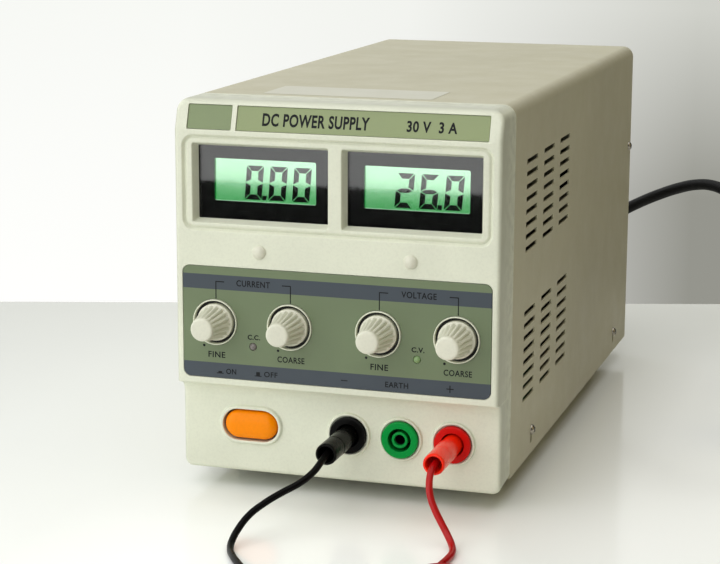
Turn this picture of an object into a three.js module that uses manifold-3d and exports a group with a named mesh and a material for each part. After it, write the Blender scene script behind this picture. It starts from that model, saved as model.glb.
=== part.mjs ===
// Bench power supply: a moulded front with displays, knobs, a push button and three 4 mm sockets, on a folded steel
// case with a finned heat sink behind. It has a mains cord with its plug, and two test leads plugged in at the front.
// Millimetres. The case axes are x to the right from the middle, y to the back from the upper front face, and z up
// from the underside of the case. The whole model stands on z = 0, the underside of its rubber feet.
import * as THREE from 'three';
import { mergeVertices } from 'three/addons/utils/BufferGeometryUtils.js';
import Module from 'manifold-3d';

const wasm = await Module();
wasm.setup();

// ---------------------------------------------------------------- driving dimensions

const caseWidth = 136;
const caseHeight = 153.5;
const caseDepth = 290;
const footHeight = 9.5;
const gap = 0.3; // air between two pieces that touch
const sheet = 1.2; // folded steel
const half = caseWidth / 2;

const bezel = {
  depth: 23,
  wall: 2.5,
  topRadius: 8,
  bottomRadius: 3.5,
  slopeFrom: 141, // above this height the front leans back
  slopeBack: 4,
  lip: 37.6, // below this height the front steps back
  step: 6.6,
  coveRadius: 6,
};
const overlay = { halfWidth: 64.9, bottom: 39.2, top: 85.6, thickness: 0.5, radius: 3 };
const strip = { bottom: 0.6, top: 10.6, thickness: 0.5, sunk: 0.4 }; // measured up the leaning face
const displayRecess = { halfWidth: 64.9, bottom: 100, top: 139.5, radius: 5, depth: 1.5 };
const windowOpening = { inner: 2.5, outer: 60.9, bottom: 102.6, top: 136.2, taper: 2.2, depth: 5 };
const knob = { xs: [-51, -18.9, 18.5, 50.9], z: 62.5, front: -16, back: 4.4, radius: 8, wellFloor: 5.2 };
const knobNames = ['current_fine', 'current_coarse', 'voltage_fine', 'voltage_coarse'];
const led = { xs: [-34.6, 34.7], z: 53.3, radius: 1.5 };
const blankingPlug = { x: 31.7, z: 92.6, radius: 3 };
const button = { x: -38.1, z: 18.3, halfLength: 11.75, halfHeight: 6.25, front: 4, back: 15, stemEnd: 27 };
const socket = { firstX: 4.4, pitch: 22, z: 18, flangeRadius: 7.6, front: 4 };
const socketNames = ['negative', 'earth', 'positive'];
const pin = { radius: 1.9, holeRadius: 2.2, tip: 23 };
const plug = { radius: 4.4, sheathInner: 3.75, sheathTip: 14, back: -24, recessRadius: 3.1, recessDepth: 10 };

const slot = { length: 20.4, height: 2, rows: 8, rowPitch: 5.2, columns: 3, firstY: 54.7, columnPitch: 32.8 };
const slotGroupTops = [127.8, 64.3];
const keyholeDrop = 5.5;
const screw = { radius: 1.5, head: 3, length: 8 };
const screwHoles = [
  { y: 62.5, z: 10.5, tail: keyholeDrop },
  { y: 254, z: 10.5, tail: keyholeDrop },
  { y: 284, z: 102.7, tail: 0 },
];
const foot = { x: 50, ys: [45, 248], radius: 8.5 };
const panelFront = caseDepth - 2;
const panelBack = panelFront + 1.5;
const sink = { x: -17, width: 78, bottom: 22, top: 140, base: 4.7, back: 312, fins: 11, fin: 2.4 };
const rearColumn = 40; // x of the fuse holder and of the cord entry
const fuseHeight = 88;
const cordHeight = 48.5;

const floorZ = -footHeight;
const mainsCord = { diameter: 6, coilInner: 33, coilOuter: 39, layers: 3, coilX: 183, coilY: 240 };
const mainsPlug = { x: 166, y: 194, radius: 18.5 };
const lead = { diameter: 2.8, coilInner: 14.1, coilOuter: 16.9, layers: 2 };

// ---------------------------------------------------------------- cord routes

// From the strain relief over in a stiff arch and down to the floor, up to where its coil begins.
const mainsRoute = [
  [40, 316.3, 48.5], [41.6, 327, 49.6], [46.6, 336.4, 52.8], [54.6, 343.2, 57.6], [64.4, 346.6, 62.8],
  [75, 346.8, 67.8], [85.4, 345, 72], [95.4, 341.6, 75], [105, 337, 75.8], [114.3, 331.4, 73.4],
  [122.8, 325.6, 67.8], [129.8, 320.2, 59.6], [135, 315, 49.6], [138.6, 309.8, 38.8], [141, 304, 27.4],
  [142.6, 297.2, 16.2], [143.6, 289, 6.6], [144, 279.6, -0.6], [144, 269.6, -5], [144, 262.5, -6.4],
];
// From inside the black plug, down to the left and out along the floor, up to its coil.
const negativeRoute = [
  [4.4, -14.3, 18], [4.4, -22, 17.9], [4.3, -29, 16.6], [2.6, -35.5, 13.6], [-1.2, -41, 10.6],
  [-6.6, -45.6, 7.8], [-11.8, -50, 4.6], [-16.3, -54.4, 0.9], [-19, -58.8, -3.2], [-19.8, -64.2, -6.6],
  [-18.2, -70.4, -8], [-14.8, -77, -8], [-10, -84, -8], [-4.3, -91.6, -8], [1, -99, -8],
];
// From inside the red plug, straight down in front of it and out along the floor, up to its coil.
const positiveRoute = [
  [48.4, -14.3, 18], [48.4, -22, 17.8], [48.5, -28, 16.2], [49, -32, 12.6], [50.2, -34.2, 8.2],
  [52.4, -35.6, 3.8], [55.2, -36.8, -0.6], [58.2, -38.6, -4.6], [61, -42.4, -7.3], [62.7, -48.4, -8],
  [62.8, -55.6, -8], [61.9, -64, -8], [60.9, -72.5, -8], [60.5, -80, -8],
];
const leadEnds = {
  negative: { coil: [-6.5, -121.5], plug: [15.7, -114.9], heading: -Math.PI / 6 },
  positive: { coil: [77.4, -94], plug: [82.7, -116.6], heading: -Math.PI / 6 },
};

// ---------------------------------------------------------------- shape helpers

function arc(cx, cy, radius, from, to, steps) {
  return Array.from({ length: steps + 1 }, (_, i) => {
    const angle = from + ((to - from) * i) / steps;
    return [cx + radius * Math.cos(angle), cy + radius * Math.sin(angle)];
  });
}

// A counter-clockwise rectangle with rounded corners.
function roundedBox(x0, x1, y0, y1, bottomRadius, topRadius = bottomRadius, steps = 4) {
  const turn = Math.PI / 2;
  return [
    ...arc(x1 - bottomRadius, y0 + bottomRadius, bottomRadius, -turn, 0, steps),
    ...arc(x1 - topRadius, y1 - topRadius, topRadius, 0, turn, steps),
    ...arc(x0 + topRadius, y1 - topRadius, topRadius, turn, 2 * turn, steps),
    ...arc(x0 + bottomRadius, y0 + bottomRadius, bottomRadius, 2 * turn, 3 * turn, steps),
  ];
}

// A lying pill: two half circles joined by straight sides.
function pill(x, y, halfLength, halfHeight, steps = 7) {
  const reach = halfLength - halfHeight;
  return [
    ...arc(x + reach, y, halfHeight, -Math.PI / 2, Math.PI / 2, steps),
    ...arc(x - reach, y, halfHeight, Math.PI / 2, (3 * Math.PI) / 2, steps),
  ];
}

function circle(x, y, radius, steps = 18) {
  return arc(x, y, radius, 0, 2 * Math.PI * (1 - 1 / steps), steps - 1);
}

function shapeOf(outline, holes = []) {
  const shape = new THREE.Shape(outline.map(([x, y]) => new THREE.Vector2(x, y)));
  shape.holes = holes.map((hole) => new THREE.Path(hole.map(([x, y]) => new THREE.Vector2(x, y))));
  return shape;
}

// An outline in x and y, raised from z0 to z1.
function raised(outline, z0, z1) {
  const options = { depth: z1 - z0, bevelEnabled: false };
  return new THREE.ExtrudeGeometry(shapeOf(outline), options).translate(0, 0, z0);
}

// An outline in x and z, run back from y0 to y1.
function runBack(outline, y0, y1, holes = []) {
  const options = { depth: y1 - y0, bevelEnabled: false };
  return new THREE.ExtrudeGeometry(shapeOf(outline, holes), options).rotateX(Math.PI / 2).translate(0, y1, 0);
}

// An outline in y and z, run across from x0 to x1.
function runAcross(outline, x0, x1) {
  const options = { depth: x1 - x0, bevelEnabled: false };
  const axes = new THREE.Matrix4().makeBasis(
    new THREE.Vector3(0, 1, 0),
    new THREE.Vector3(0, 0, 1),
    new THREE.Vector3(1, 0, 0),
  );
  return new THREE.ExtrudeGeometry(shapeOf(outline), options).applyMatrix4(axes).translate(x0, 0, 0);
}

function block(x0, x1, y0, y1, z0, z1) {
  const box = new THREE.BoxGeometry(x1 - x0, y1 - y0, z1 - z0);
  return box.translate((x0 + x1) / 2, (y0 + y1) / 2, (z0 + z1) / 2);
}

// A profile of [radius, y] pairs turned about a line along y at x, z.
function turned(profile, x, z, steps = 20) {
  const points = profile.map(([radius, y]) => new THREE.Vector2(radius, y));
  return new THREE.LatheGeometry(points, steps).translate(x, 0, z);
}

function rod(radius, y0, y1, x, z, steps = 18) {
  return turned([[0, y0], [radius, y0], [radius, y1], [0, y1]], x, z, steps);
}

// A block whose front face is larger than its back face by the taper on every side.
function taperedBlock(x0, x1, y0, y1, z0, z1, taper) {
  const shape = block(x0, x1, y0, y1, z0, z1);
  const position = shape.attributes.position;
  const middle = [(x0 + x1) / 2, (y0 + y1) / 2, (z0 + z1) / 2];
  for (let i = 0; i < position.count; i += 1) {
    if (position.getY(i) > middle[1]) {
      position.setX(i, position.getX(i) + (position.getX(i) > middle[0] ? -taper : taper));
      position.setZ(i, position.getZ(i) + (position.getZ(i) > middle[2] ? -taper : taper));
    }
  }
  return shape;
}

function signedVolume(position, index) {
  const [a, b, c] = [new THREE.Vector3(), new THREE.Vector3(), new THREE.Vector3()];
  let volume = 0;
  for (let i = 0; i < index.length; i += 3) {
    a.fromBufferAttribute(position, index[i]);
    b.fromBufferAttribute(position, index[i + 1]);
    c.fromBufferAttribute(position, index[i + 2]);
    volume += a.dot(b.cross(c)) / 6;
  }
  return volume;
}

// Shared vertices merged, collapsed triangles dropped and every face turned outwards.
function closed(geometry) {
  const bare = geometry.clone();
  bare.deleteAttribute('normal');
  bare.deleteAttribute('uv');
  const merged = mergeVertices(bare, 1e-4);
  const corners = merged.index.array;
  const kept = [];
  for (let i = 0; i < corners.length; i += 3) {
    const [a, b, c] = [corners[i], corners[i + 1], corners[i + 2]];
    if (a !== b && b !== c && a !== c) kept.push(a, b, c);
  }
  if (signedVolume(merged.attributes.position, kept) < 0) kept.reverse();
  merged.setIndex(kept);
  return merged;
}

function solidOf(geometry) {
  const mesh = closed(geometry);
  const vertProperties = Float32Array.from(mesh.attributes.position.array);
  const triVerts = Uint32Array.from(mesh.index.array);
  return new wasm.Manifold(new wasm.Mesh({ numProp: 3, vertProperties, triVerts }));
}

function geometryOf(solid) {
  const mesh = solid.getMesh();
  const geometry = new THREE.BufferGeometry();
  geometry.setAttribute('position', new THREE.BufferAttribute(Float32Array.from(mesh.vertProperties), 3));
  geometry.setIndex(new THREE.BufferAttribute(Uint32Array.from(mesh.triVerts), 1));
  return geometry;
}

const joinedWith = (solid, shapes) => shapes.reduce((whole, shape) => whole.add(solidOf(shape)), solid);
const cutBy = (solid, shapes) => shapes.reduce((whole, shape) => whole.subtract(solidOf(shape)), solid);

// ---------------------------------------------------------------- materials

function material(color, roughness, metalness = 0) {
  return new THREE.MeshStandardMaterial({ color, roughness, metalness });
}

const creamPlastic = material(0xe2e3d0, 0.45);
const coverPaint = material(0xb4b29c, 0.5);
const greenFilm = material(0x7f8d6a, 0.4);
const stripFilm = material(0xa3ad80, 0.4);
const badgeFilm = material(0x8b9a74, 0.4);
const lensPlastic = material(0x101214, 0.08);
const displayGreen = material(0x5fd08a, 0.3);
const knobPlastic = material(0xe6e4d8, 0.5);
const orangePlastic = material(0xff8a00, 0.3);
const blackPlastic = material(0x141414, 0.4);
const greenPlastic = material(0x00963c, 0.35);
const redPlastic = material(0xd01810, 0.35);
const ledPlastic = material(0x8a8f80, 0.3);
const plainSteel = material(0xc0c0bc, 0.35, 1);
const zincSteel = material(0xb5b8b4, 0.4, 1);
const blackAluminium = material(0x1c1c1e, 0.5, 0.6);
const rubber = material(0x1a1a1a, 0.8);
const boardGreen = material(0x2c6b3f, 0.5);
const transformerSteel = material(0x6a6660, 0.5, 0.5);
const capacitorSleeve = material(0x20304a, 0.4);

// ---------------------------------------------------------------- front

const slopeAngle = Math.atan2(bezel.slopeBack, caseHeight - bezel.slopeFrom);

// The pocket or strip between x0 and x1 on the leaning face, from depth y0 to y1 below it.
function onSlope(x0, x1, y0, y1, z0, z1) {
  return block(x0, x1, y0, y1, z0, z1).rotateX(-slopeAngle).translate(0, 0, bezel.slopeFrom);
}

const badgeSpan = [-62.4, -43.9];
const titleSpan = [-41.4, 62.4];

function stripPiece([x0, x1]) {
  return onSlope(x0, x1, strip.sunk, strip.sunk + strip.thickness, strip.bottom, strip.top);
}

function stripPocket([x0, x1]) {
  const floor = strip.sunk + strip.thickness + gap;
  return onSlope(x0 - gap, x1 + gap, -3, floor, strip.bottom - gap, strip.top + gap);
}

// The hollow behind the front wall, which follows the lean at the top and the step at the bottom.
function bezelHollow() {
  const inner = caseHeight - bezel.wall;
  const lowerWall = bezel.step + 2.8;
  const outline = [
    [3, 41], [lowerWall, 39], [lowerWall, bezel.wall], [bezel.depth + 1, bezel.wall],
    [bezel.depth + 1, inner], [bezel.slopeBack + 3.4, inner], [windowOpening.depth, 138],
    [windowOpening.depth, 98], [3, 96],
  ];
  const across = half - bezel.wall;
  const inside = roundedBox(-across, across, bezel.wall, inner, 2, bezel.topRadius - bezel.wall);
  return solidOf(runAcross(outline, -half, half)).intersect(solidOf(runBack(inside, -1, bezel.depth + 2)));
}

// What the step takes away below the lip, with a cove under it.
function bezelStepCut() {
  const coveY = bezel.step - bezel.coveRadius;
  const coveZ = bezel.lip - bezel.coveRadius;
  const cove = arc(coveY, coveZ, bezel.coveRadius, 0, Math.PI / 2, 4);
  return runAcross([[-5, -5], [bezel.step, -5], ...cove, [-5, bezel.lip]], -half - 1, half + 1);
}

function bezelSlopeCut() {
  const beyond = 2;
  const top = caseHeight + beyond;
  const back = ((top - bezel.slopeFrom) * bezel.slopeBack) / (caseHeight - bezel.slopeFrom);
  return runAcross([[0, bezel.slopeFrom], [back, top], [-5, top], [-5, bezel.slopeFrom]], -half - 1, half + 1);
}

function windowCut(side) {
  const { inner, outer, bottom, top, taper, depth } = windowOpening;
  const [x0, x1] = side < 0 ? [-outer, -inner] : [inner, outer];
  return [
    taperedBlock(x0, x1, displayRecess.depth, depth, bottom, top, taper),
    block(x0 + taper, x1 - taper, depth - 1, depth + 1, bottom + taper, top - taper),
  ];
}

const socketXs = socketNames.map((_, i) => socket.firstX + i * socket.pitch);
const collarProud = 1.2;
const overlayPocket = overlay.thickness + gap;

function bezelGeometry() {
  const outline = roundedBox(-half, half, 0, caseHeight, bezel.bottomRadius, bezel.topRadius);
  const recess = displayRecess;
  const sleeveBack = 13;
  const lowerCollar = bezel.step - collarProud;
  const recessOutline = roundedBox(-recess.halfWidth, recess.halfWidth, recess.bottom, recess.top, recess.radius);
  let shell = solidOf(runBack(outline, 0, bezel.depth));
  shell = cutBy(shell, [bezelSlopeCut(), bezelStepCut()]).subtract(bezelHollow());
  shell = cutBy(shell, [
    runBack(recessOutline, -1, recess.depth),
    ...windowCut(-1),
    ...windowCut(1),
    stripPocket(badgeSpan),
    stripPocket(titleSpan),
    runBack(overlayOutline(gap), -1, overlayPocket),
  ]);
  shell = joinedWith(shell, [
    ...knob.xs.map((x) => rod(10.6, 1, 7, x, knob.z)),
    ...knob.xs.map((x) => rod(9.4, -0.8, 2, x, knob.z)),
    ...socketXs.map((x) => rod(9, lowerCollar, 9, x, socket.z)),
    runBack(pill(button.x, button.z, 13.6, 8.3), lowerCollar, sleeveBack),
  ]);
  return geometryOf(cutBy(shell, [
    ...knob.xs.map((x) => rod(8.6, -2, knob.wellFloor, x, knob.z)),
    ...knob.xs.map((x) => rod(5.05, 0, 8, x, knob.z)),
    ...led.xs.map((x) => rod(led.radius + gap, -1, 5, x, led.z, 12)),
    ...[-1, 1].map((side) => rod(2.3, -1, 5, side * blankingPlug.x, blankingPlug.z, 12)),
    ...socketXs.map((x) => rod(8, lowerCollar - 1, bezel.step, x, socket.z)),
    ...socketXs.map((x) => rod(6.3, bezel.step - 1, 12, x, socket.z)),
    runBack(pill(button.x, button.z, button.halfLength + 0.4, button.halfHeight + 0.4), 0, sleeveBack + 1),
  ]));
}

function overlayOutline(grown = 0) {
  const across = overlay.halfWidth + grown;
  return roundedBox(-across, across, overlay.bottom - grown, overlay.top + grown, overlay.radius);
}

function overlayGeometry() {
  return runBack(overlayOutline(), 0, overlay.thickness, [
    ...knob.xs.map((x) => circle(x, knob.z, 9.7)),
    ...led.xs.map((x) => circle(x, led.z, led.radius + gap, 12)),
  ]);
}

function windowPlate(side) {
  const [x0, x1] = side < 0 ? [-60.6, -2.8] : [2.8, 60.6];
  return block(x0, x1, windowOpening.depth + gap, windowOpening.depth + 1.8, 103.6, 136);
}

function displayModule(side) {
  const [x0, x1] = side < 0 ? [-58.4, -4.9] : [4.9, 58.4];
  const front = windowOpening.depth + 1.8 + gap;
  return geometryOf(joinedWith(solidOf(block(x0, x1, front, front + 6, 105.7, 134.1)), [
    block(x0 + 3, x1 - 3, front + 5, front + 7.6, 108, 132),
  ]));
}

function blankingPlugGeometry(side) {
  const { x, z, radius } = blankingPlug;
  return turned(
    [[0, -1.7], [1.6, -1.5], [2.6, -0.9], [radius, -gap], [2, -gap], [2, 6], [0, 6]], side * x, z, 16,
  );
}

function ledGeometry(x) {
  return turned([[0, -0.9], [1, -0.6], [led.radius, 0.1], [led.radius, 6], [0, 6]], x, led.z, 12);
}

// ---------------------------------------------------------------- controls

const shaft = { radius: 3, front: -11.2, back: 11.7 };

function knobGeometry() {
  const bore = shaft.radius + gap;
  return turned([
    [0, shaft.front - gap], [bore, shaft.front - gap], [bore, knob.back], [knob.radius, knob.back],
    [knob.radius, -0.6], [7.3, -1.4], [5.2, -13], [4.9, -15.2], [4.2, knob.front], [0, knob.front],
  ], 0, 0, 20);
}

function shaftGeometry() {
  return rod(shaft.radius, shaft.front, shaft.back, 0, 0, 12);
}

function potentiometerGeometry() {
  const bore = shaft.radius + gap;
  return turned([
    [0, shaft.back + gap], [bore, shaft.back + gap], [bore, knob.back + gap], [4.75, knob.back + gap],
    [4.75, 7.3], [8, 7.3], [8, 17], [0, 17],
  ], 0, 0, 16);
}

function buttonGeometry() {
  const { x, z, halfLength, halfHeight, front, back, stemEnd } = button;
  const chamfer = 1;
  const cap = runBack(pill(x, z, halfLength - chamfer, halfHeight - chamfer), front, front + 2);
  const body = runBack(pill(x, z, halfLength, halfHeight), front + chamfer, back);
  const stem = block(x - 2.5, x + 2.5, back - 1, stemEnd, z - 2.5, z + 2.5);
  return geometryOf(joinedWith(solidOf(body), [cap, stem]));
}

function switchGeometry() {
  const { x, z } = button;
  const front = 18;
  const body = block(x - 9, x + 9, front, 44, z - 9, z + 9);
  const terminals = [-5, 5].map((offset) => block(x + offset - 1, x + offset + 1, 43, 52, z - 2, z + 2));
  const guide = block(x - 2.9, x + 2.9, front - 1, 36, z - 2.9, z + 2.9);
  return geometryOf(cutBy(joinedWith(solidOf(body), terminals), [guide]));
}

function socketGeometry() {
  const { flangeRadius, front } = socket;
  const ringInner = 4.8;
  const tube = 3.4;
  const { holeRadius } = pin;
  return turned([
    [0, 26], [holeRadius, 26], [holeRadius, front + 0.6], [tube, front + 0.6], [tube, 24], [ringInner, 24],
    [ringInner, front], [flangeRadius - 0.4, front], [flangeRadius, front + 0.4], [flangeRadius, bezel.step - gap],
    [6, bezel.step - gap], [6, 28], [2, 28], [2, 36], [0, 36],
  ], 0, 0, 16);
}

// A 4 mm plug with a fixed sheath, its pin towards +y and the hollow that takes its lead towards -y.
function plugGeometry() {
  const { radius, sheathInner, sheathTip, back, recessRadius, recessDepth } = plug;
  return turned([
    [0, pin.tip], [1.5, pin.tip], [pin.radius, pin.tip - 1], [pin.radius, -4], [sheathInner, -4],
    [sheathInner, sheathTip], [radius, sheathTip], [radius, back + 0.4], [radius - 0.4, back],
    [recessRadius, back], [recessRadius, back + recessDepth], [0, back + recessDepth],
  ], 0, 0, 14);
}

// ---------------------------------------------------------------- case

function coverGeometry() {
  const start = bezel.depth + gap;
  const inside = half - sheet;
  const innerTop = caseHeight - sheet;
  const radius = bezel.topRadius;
  const turn = Math.PI / 2;
  const outline = [
    [half, 0], ...arc(half - radius, caseHeight - radius, radius, 0, turn, 4),
    ...arc(-half + radius, caseHeight - radius, radius, turn, 2 * turn, 4), [-half, 0], [-inside, 0],
    ...arc(-half + radius, caseHeight - radius, radius - sheet, 2 * turn, turn, 4),
    ...arc(half - radius, innerTop - radius + sheet, radius - sheet, turn, 0, 4), [inside, 0],
  ];
  const cuts = [];
  for (const side of [-1, 1]) {
    const [x0, x1] = side < 0 ? [-half - 1, -inside + 1] : [inside - 1, half + 1];
    for (const top of slotGroupTops) {
      for (let row = 0; row < slot.rows; row += 1) {
        for (let column = 0; column < slot.columns; column += 1) {
          const y = slot.firstY + column * slot.columnPitch;
          const z = top - row * slot.rowPitch;
          const [reachY, reachZ] = [slot.length / 2, slot.height / 2];
          cuts.push(block(x0, x1, y - reachY, y + reachY, z - reachZ, z + reachZ));
        }
      }
    }
    for (const hole of screwHoles) cuts.push(runAcross(keyhole(hole), x0, x1));
  }
  return geometryOf(cutBy(solidOf(runBack(outline, start, caseDepth)), cuts));
}

// A screw hole, drawn out downwards by its tail.
function keyhole({ y, z, tail }) {
  const radius = screw.radius + gap;
  return [...arc(y, z, radius, 0, Math.PI, 6), ...arc(y, z - tail, radius, Math.PI, 2 * Math.PI, 6)];
}

function basePanGeometry() {
  const outside = half - sheet - 0.4;
  const inside = outside - sheet;
  const flange = 14;
  const outline = [
    [-outside, 0], [outside, 0], [outside, flange], [inside, flange],
    [inside, sheet], [-inside, sheet], [-inside, flange], [-outside, flange],
  ];
  const holes = screwHoles.filter(({ tail }) => tail > 0);
  const cuts = holes.map(({ y, z }) => runAcross(circle(y, z, screw.radius + gap, 12), -half, half));
  return geometryOf(cutBy(solidOf(runBack(outline, bezel.depth + 0.4, panelFront - 0.4)), cuts));
}

function rearPanelGeometry() {
  const outside = half - sheet - 0.4;
  const outline = roundedBox(-outside, outside, gap, caseHeight - sheet - 0.4, 0.5, 6.5);
  const upper = screwHoles.find(({ tail }) => tail === 0);
  const tabs = [[-outside, -outside + sheet], [outside - sheet, outside]].map(([x0, x1]) =>
    block(x0, x1, panelFront - 10, panelFront + 0.5, upper.z - 6.5, upper.z + 6.5));
  return geometryOf(cutBy(joinedWith(solidOf(runBack(outline, panelFront, panelBack)), tabs), [
    rod(6.3, panelFront - 1, panelBack + 1, rearColumn, cordHeight),
    rod(6.5, panelFront - 1, panelBack + 1, rearColumn, fuseHeight),
    runAcross(circle(upper.y, upper.z, screw.radius + gap, 12), -half, half),
  ]));
}

function footGeometry() {
  const { radius } = foot;
  return turned([
    [0, floorZ], [radius - 1.3, floorZ], [radius, floorZ + 1.5], [radius - 0.8, -gap], [0, -gap],
  ], 0, 0, 16).rotateX(Math.PI / 2);
}

// Head outwards along +x from the cover's side.
function screwGeometry() {
  const { radius, head, length } = screw;
  return turned([
    [0, 1.9], [1.8, 1.7], [2.8, 1], [head, gap], [radius, gap], [radius, -length], [0, -length],
  ], 0, 0, 10).rotateZ(-Math.PI / 2);
}

// ---------------------------------------------------------------- back and inside

function heatSinkGeometry() {
  const front = panelBack + gap;
  const root = front + sink.base;
  const left = sink.x - sink.width / 2;
  const pitch = (sink.width - sink.fin) / (sink.fins - 1);
  const outline = [[left, front], [left + sink.width, front]];
  for (let i = sink.fins - 1; i >= 0; i -= 1) {
    const x = left + i * pitch;
    const tips = [[x + sink.fin, sink.back], [x, sink.back]];
    if (i < sink.fins - 1) outline.push([x + sink.fin, root]);
    outline.push(...tips);
    if (i > 0) outline.push([x, root]);
  }
  return raised(outline, sink.bottom, sink.top);
}

function transistorGeometry() {
  const z = 85;
  const back = panelFront - gap;
  const plate = runBack(pill(sink.x, z, 19.5, 12.5), back - 3, back);
  return geometryOf(joinedWith(solidOf(plate), [rod(10.5, back - 10, back - 2, sink.x, z)]));
}

function fuseHolderGeometry() {
  const face = panelBack + gap;
  return turned([
    [0, face + 13], [5.2, face + 13], [6, face + 12], [6, face + 5], [7.5, face + 4.6], [8, face + 2.2],
    [8, face], [6.2, face], [6.2, 262], [0, 262],
  ], rearColumn, fuseHeight, 18);
}

function strainReliefGeometry() {
  const face = panelBack + gap;
  const end = mainsRoute[0][1] - 2 * gap;
  return turned([
    [0, end], [4.2, end], [4.4, end - 2], [6.6, face + 2.7],
    [9, face + 2.5], [9, face], [6, face], [6, 281], [0, 281],
  ], rearColumn, cordHeight, 16);
}

function transformerGeometry() {
  const bottom = sheet + gap;
  const core = block(-36, 36, 203, 251, bottom, 62);
  const winding = block(-23, 23, 189, 265, 12, 51);
  return geometryOf(joinedWith(solidOf(core), [winding]));
}

function mainBoardGeometry() {
  const [x0, x1, y0, y1] = [-60, 60, 62, 172];
  const legs = [[x0 + 6, y0 + 6], [x1 - 6, y0 + 6], [x0 + 6, y1 - 6], [x1 - 6, y1 - 6]];
  const posts = legs.map(([x, y]) => raised(circle(x, y, 3, 8), sheet + gap, 8.5));
  return geometryOf(joinedWith(solidOf(block(x0, x1, y0, y1, 8, 9.6)), posts));
}

// ---------------------------------------------------------------- cords

function tube(route, diameter, steps) {
  const points = route.map(([x, y, z]) => new THREE.Vector3(x, y, z));
  const section = shapeOf(circle(0, 0, diameter / 2, 8));
  return new THREE.ExtrudeGeometry(section, { steps, extrudePath: new THREE.CatmullRomCurve3(points) });
}

// The outer shape of a coil that lies on the floor.
function coilRing({ diameter, coilInner, coilOuter, layers }, steps) {
  const inner = coilInner - diameter / 2 - 0.1;
  const outer = coilOuter + diameter / 2 + 0.1;
  const top = floorZ + layers * diameter;
  return turned([
    [inner, floorZ], [outer, floorZ], [outer, top - 1], [outer - 1, top], [inner, top], [inner, floorZ],
  ], 0, 0, steps).rotateX(Math.PI / 2);
}

// A two-pin earthed plug with a long boot, from the end of its boot towards -y.
function mainsPlugGeometry() {
  const { radius } = mainsPlug;
  const face = -60;
  const body = turned([
    [0, 0], [4.2, 0], [6.4, -20], [11, -22], [14.5, -30], [15, -38], [radius, -44], [radius, face], [0, face],
  ], 0, 0, 20);
  const pins = [-9.5, 9.5].map((x) => rod(2.4, face - 19, face + 1, x, 0, 10));
  return geometryOf(joinedWith(solidOf(body), pins));
}

// ---------------------------------------------------------------- assembly

const supply = new THREE.Group();
const chassis = new THREE.Group();
chassis.position.set(0, -(knob.front + sink.back) / 2, footHeight);
supply.add(chassis);

function place(name, geometry, surface, x = 0, y = 0, z = 0) {
  const mesh = new THREE.Mesh(closed(geometry), surface);
  mesh.name = name;
  mesh.position.set(x, y, z);
  chassis.add(mesh);
  return mesh;
}

const sides = [[-1, 'left'], [1, 'right']];

place('front_bezel', bezelGeometry(), creamPlastic);
place('control_overlay', overlayGeometry(), greenFilm);
place('title_strip', stripPiece(titleSpan), stripFilm);
place('badge_strip', stripPiece(badgeSpan), badgeFilm);
for (const [side, word] of sides) {
  place(`display_window_${word}`, windowPlate(side), lensPlastic);
  place(`lcd_module_${word}`, displayModule(side), displayGreen);
  place(`blanking_plug_${word}`, blankingPlugGeometry(side), knobPlastic);
}
place('current_led', ledGeometry(led.xs[0]), ledPlastic);
place('voltage_led', ledGeometry(led.xs[1]), ledPlastic);

knob.xs.forEach((x, i) => {
  place(`knob_${knobNames[i]}`, knobGeometry(), knobPlastic, x, 0, knob.z);
  place(`pot_shaft_${knobNames[i]}`, shaftGeometry(), plainSteel, x, 0, knob.z);
  place(`potentiometer_${knobNames[i]}`, potentiometerGeometry(), zincSteel, x, 0, knob.z);
});
place('power_button', buttonGeometry(), orangePlastic);
place('power_switch', switchGeometry(), blackPlastic);
[blackPlastic, greenPlastic, redPlastic].forEach((surface, i) => {
  place(`socket_${socketNames[i]}`, socketGeometry(), surface, socketXs[i], 0, socket.z);
});

place('top_cover', coverGeometry(), coverPaint);
place('base_pan', basePanGeometry(), coverPaint);
place('rear_panel', rearPanelGeometry(), coverPaint);
for (const [side, word] of sides) {
  foot.ys.forEach((y, i) => {
    place(`foot_${['front', 'rear'][i]}_${word}`, footGeometry(), rubber, side * foot.x, y);
  });
  screwHoles.forEach(({ y, z }, i) => {
    const mesh = place(`cover_screw_${word}_${i + 1}`, screwGeometry(), plainSteel, side * half, y, z);
    if (side < 0) mesh.rotation.z = Math.PI;
  });
}

place('heat_sink', heatSinkGeometry(), blackAluminium);
place('pass_transistor', transistorGeometry(), zincSteel);
place('fuse_holder', fuseHolderGeometry(), blackPlastic);
place('strain_relief', strainReliefGeometry(), blackPlastic);
place('transformer', transformerGeometry(), transformerSteel);
place('main_board', mainBoardGeometry(), boardGreen);
place('filter_capacitor', raised(circle(-28, 112, 17.5), 9.6 + gap, 54), capacitorSleeve);

place('mains_cord', tube(mainsRoute, mainsCord.diameter, 26), blackPlastic);
place('mains_coil', coilRing(mainsCord, 28), blackPlastic, mainsCord.coilX, mainsCord.coilY, 0);
place('mains_plug', mainsPlugGeometry(), blackPlastic, mainsPlug.x, mainsPlug.y, floorZ + mainsPlug.radius);

const leads = [
  ['negative', negativeRoute, blackPlastic, socketXs[0]],
  ['positive', positiveRoute, redPlastic, socketXs[2]],
];
for (const [word, route, surface, x] of leads) {
  const { coil, plug: far, heading } = leadEnds[word];
  place(`plug_${word}`, plugGeometry(), surface, x, 0, socket.z);
  place(`lead_${word}`, tube(route, lead.diameter, 22), surface);
  place(`lead_coil_${word}`, coilRing(lead, 20), surface, coil[0], coil[1], 0);
  const loose = plugGeometry().translate(0, -plug.back, 0).rotateZ(heading - Math.PI / 2);
  place(`loose_plug_${word}`, loose, surface, far[0], far[1], floorZ + plug.radius);
}

export default supply;
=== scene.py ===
"""Looks for the bench power supply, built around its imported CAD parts.

Shapes are written in case millimetres: x to the right from the middle, y to the back from the upper
front face, z up from the underside of the case. row() turns them into the row frame, in metres.
"""

import math

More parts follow.
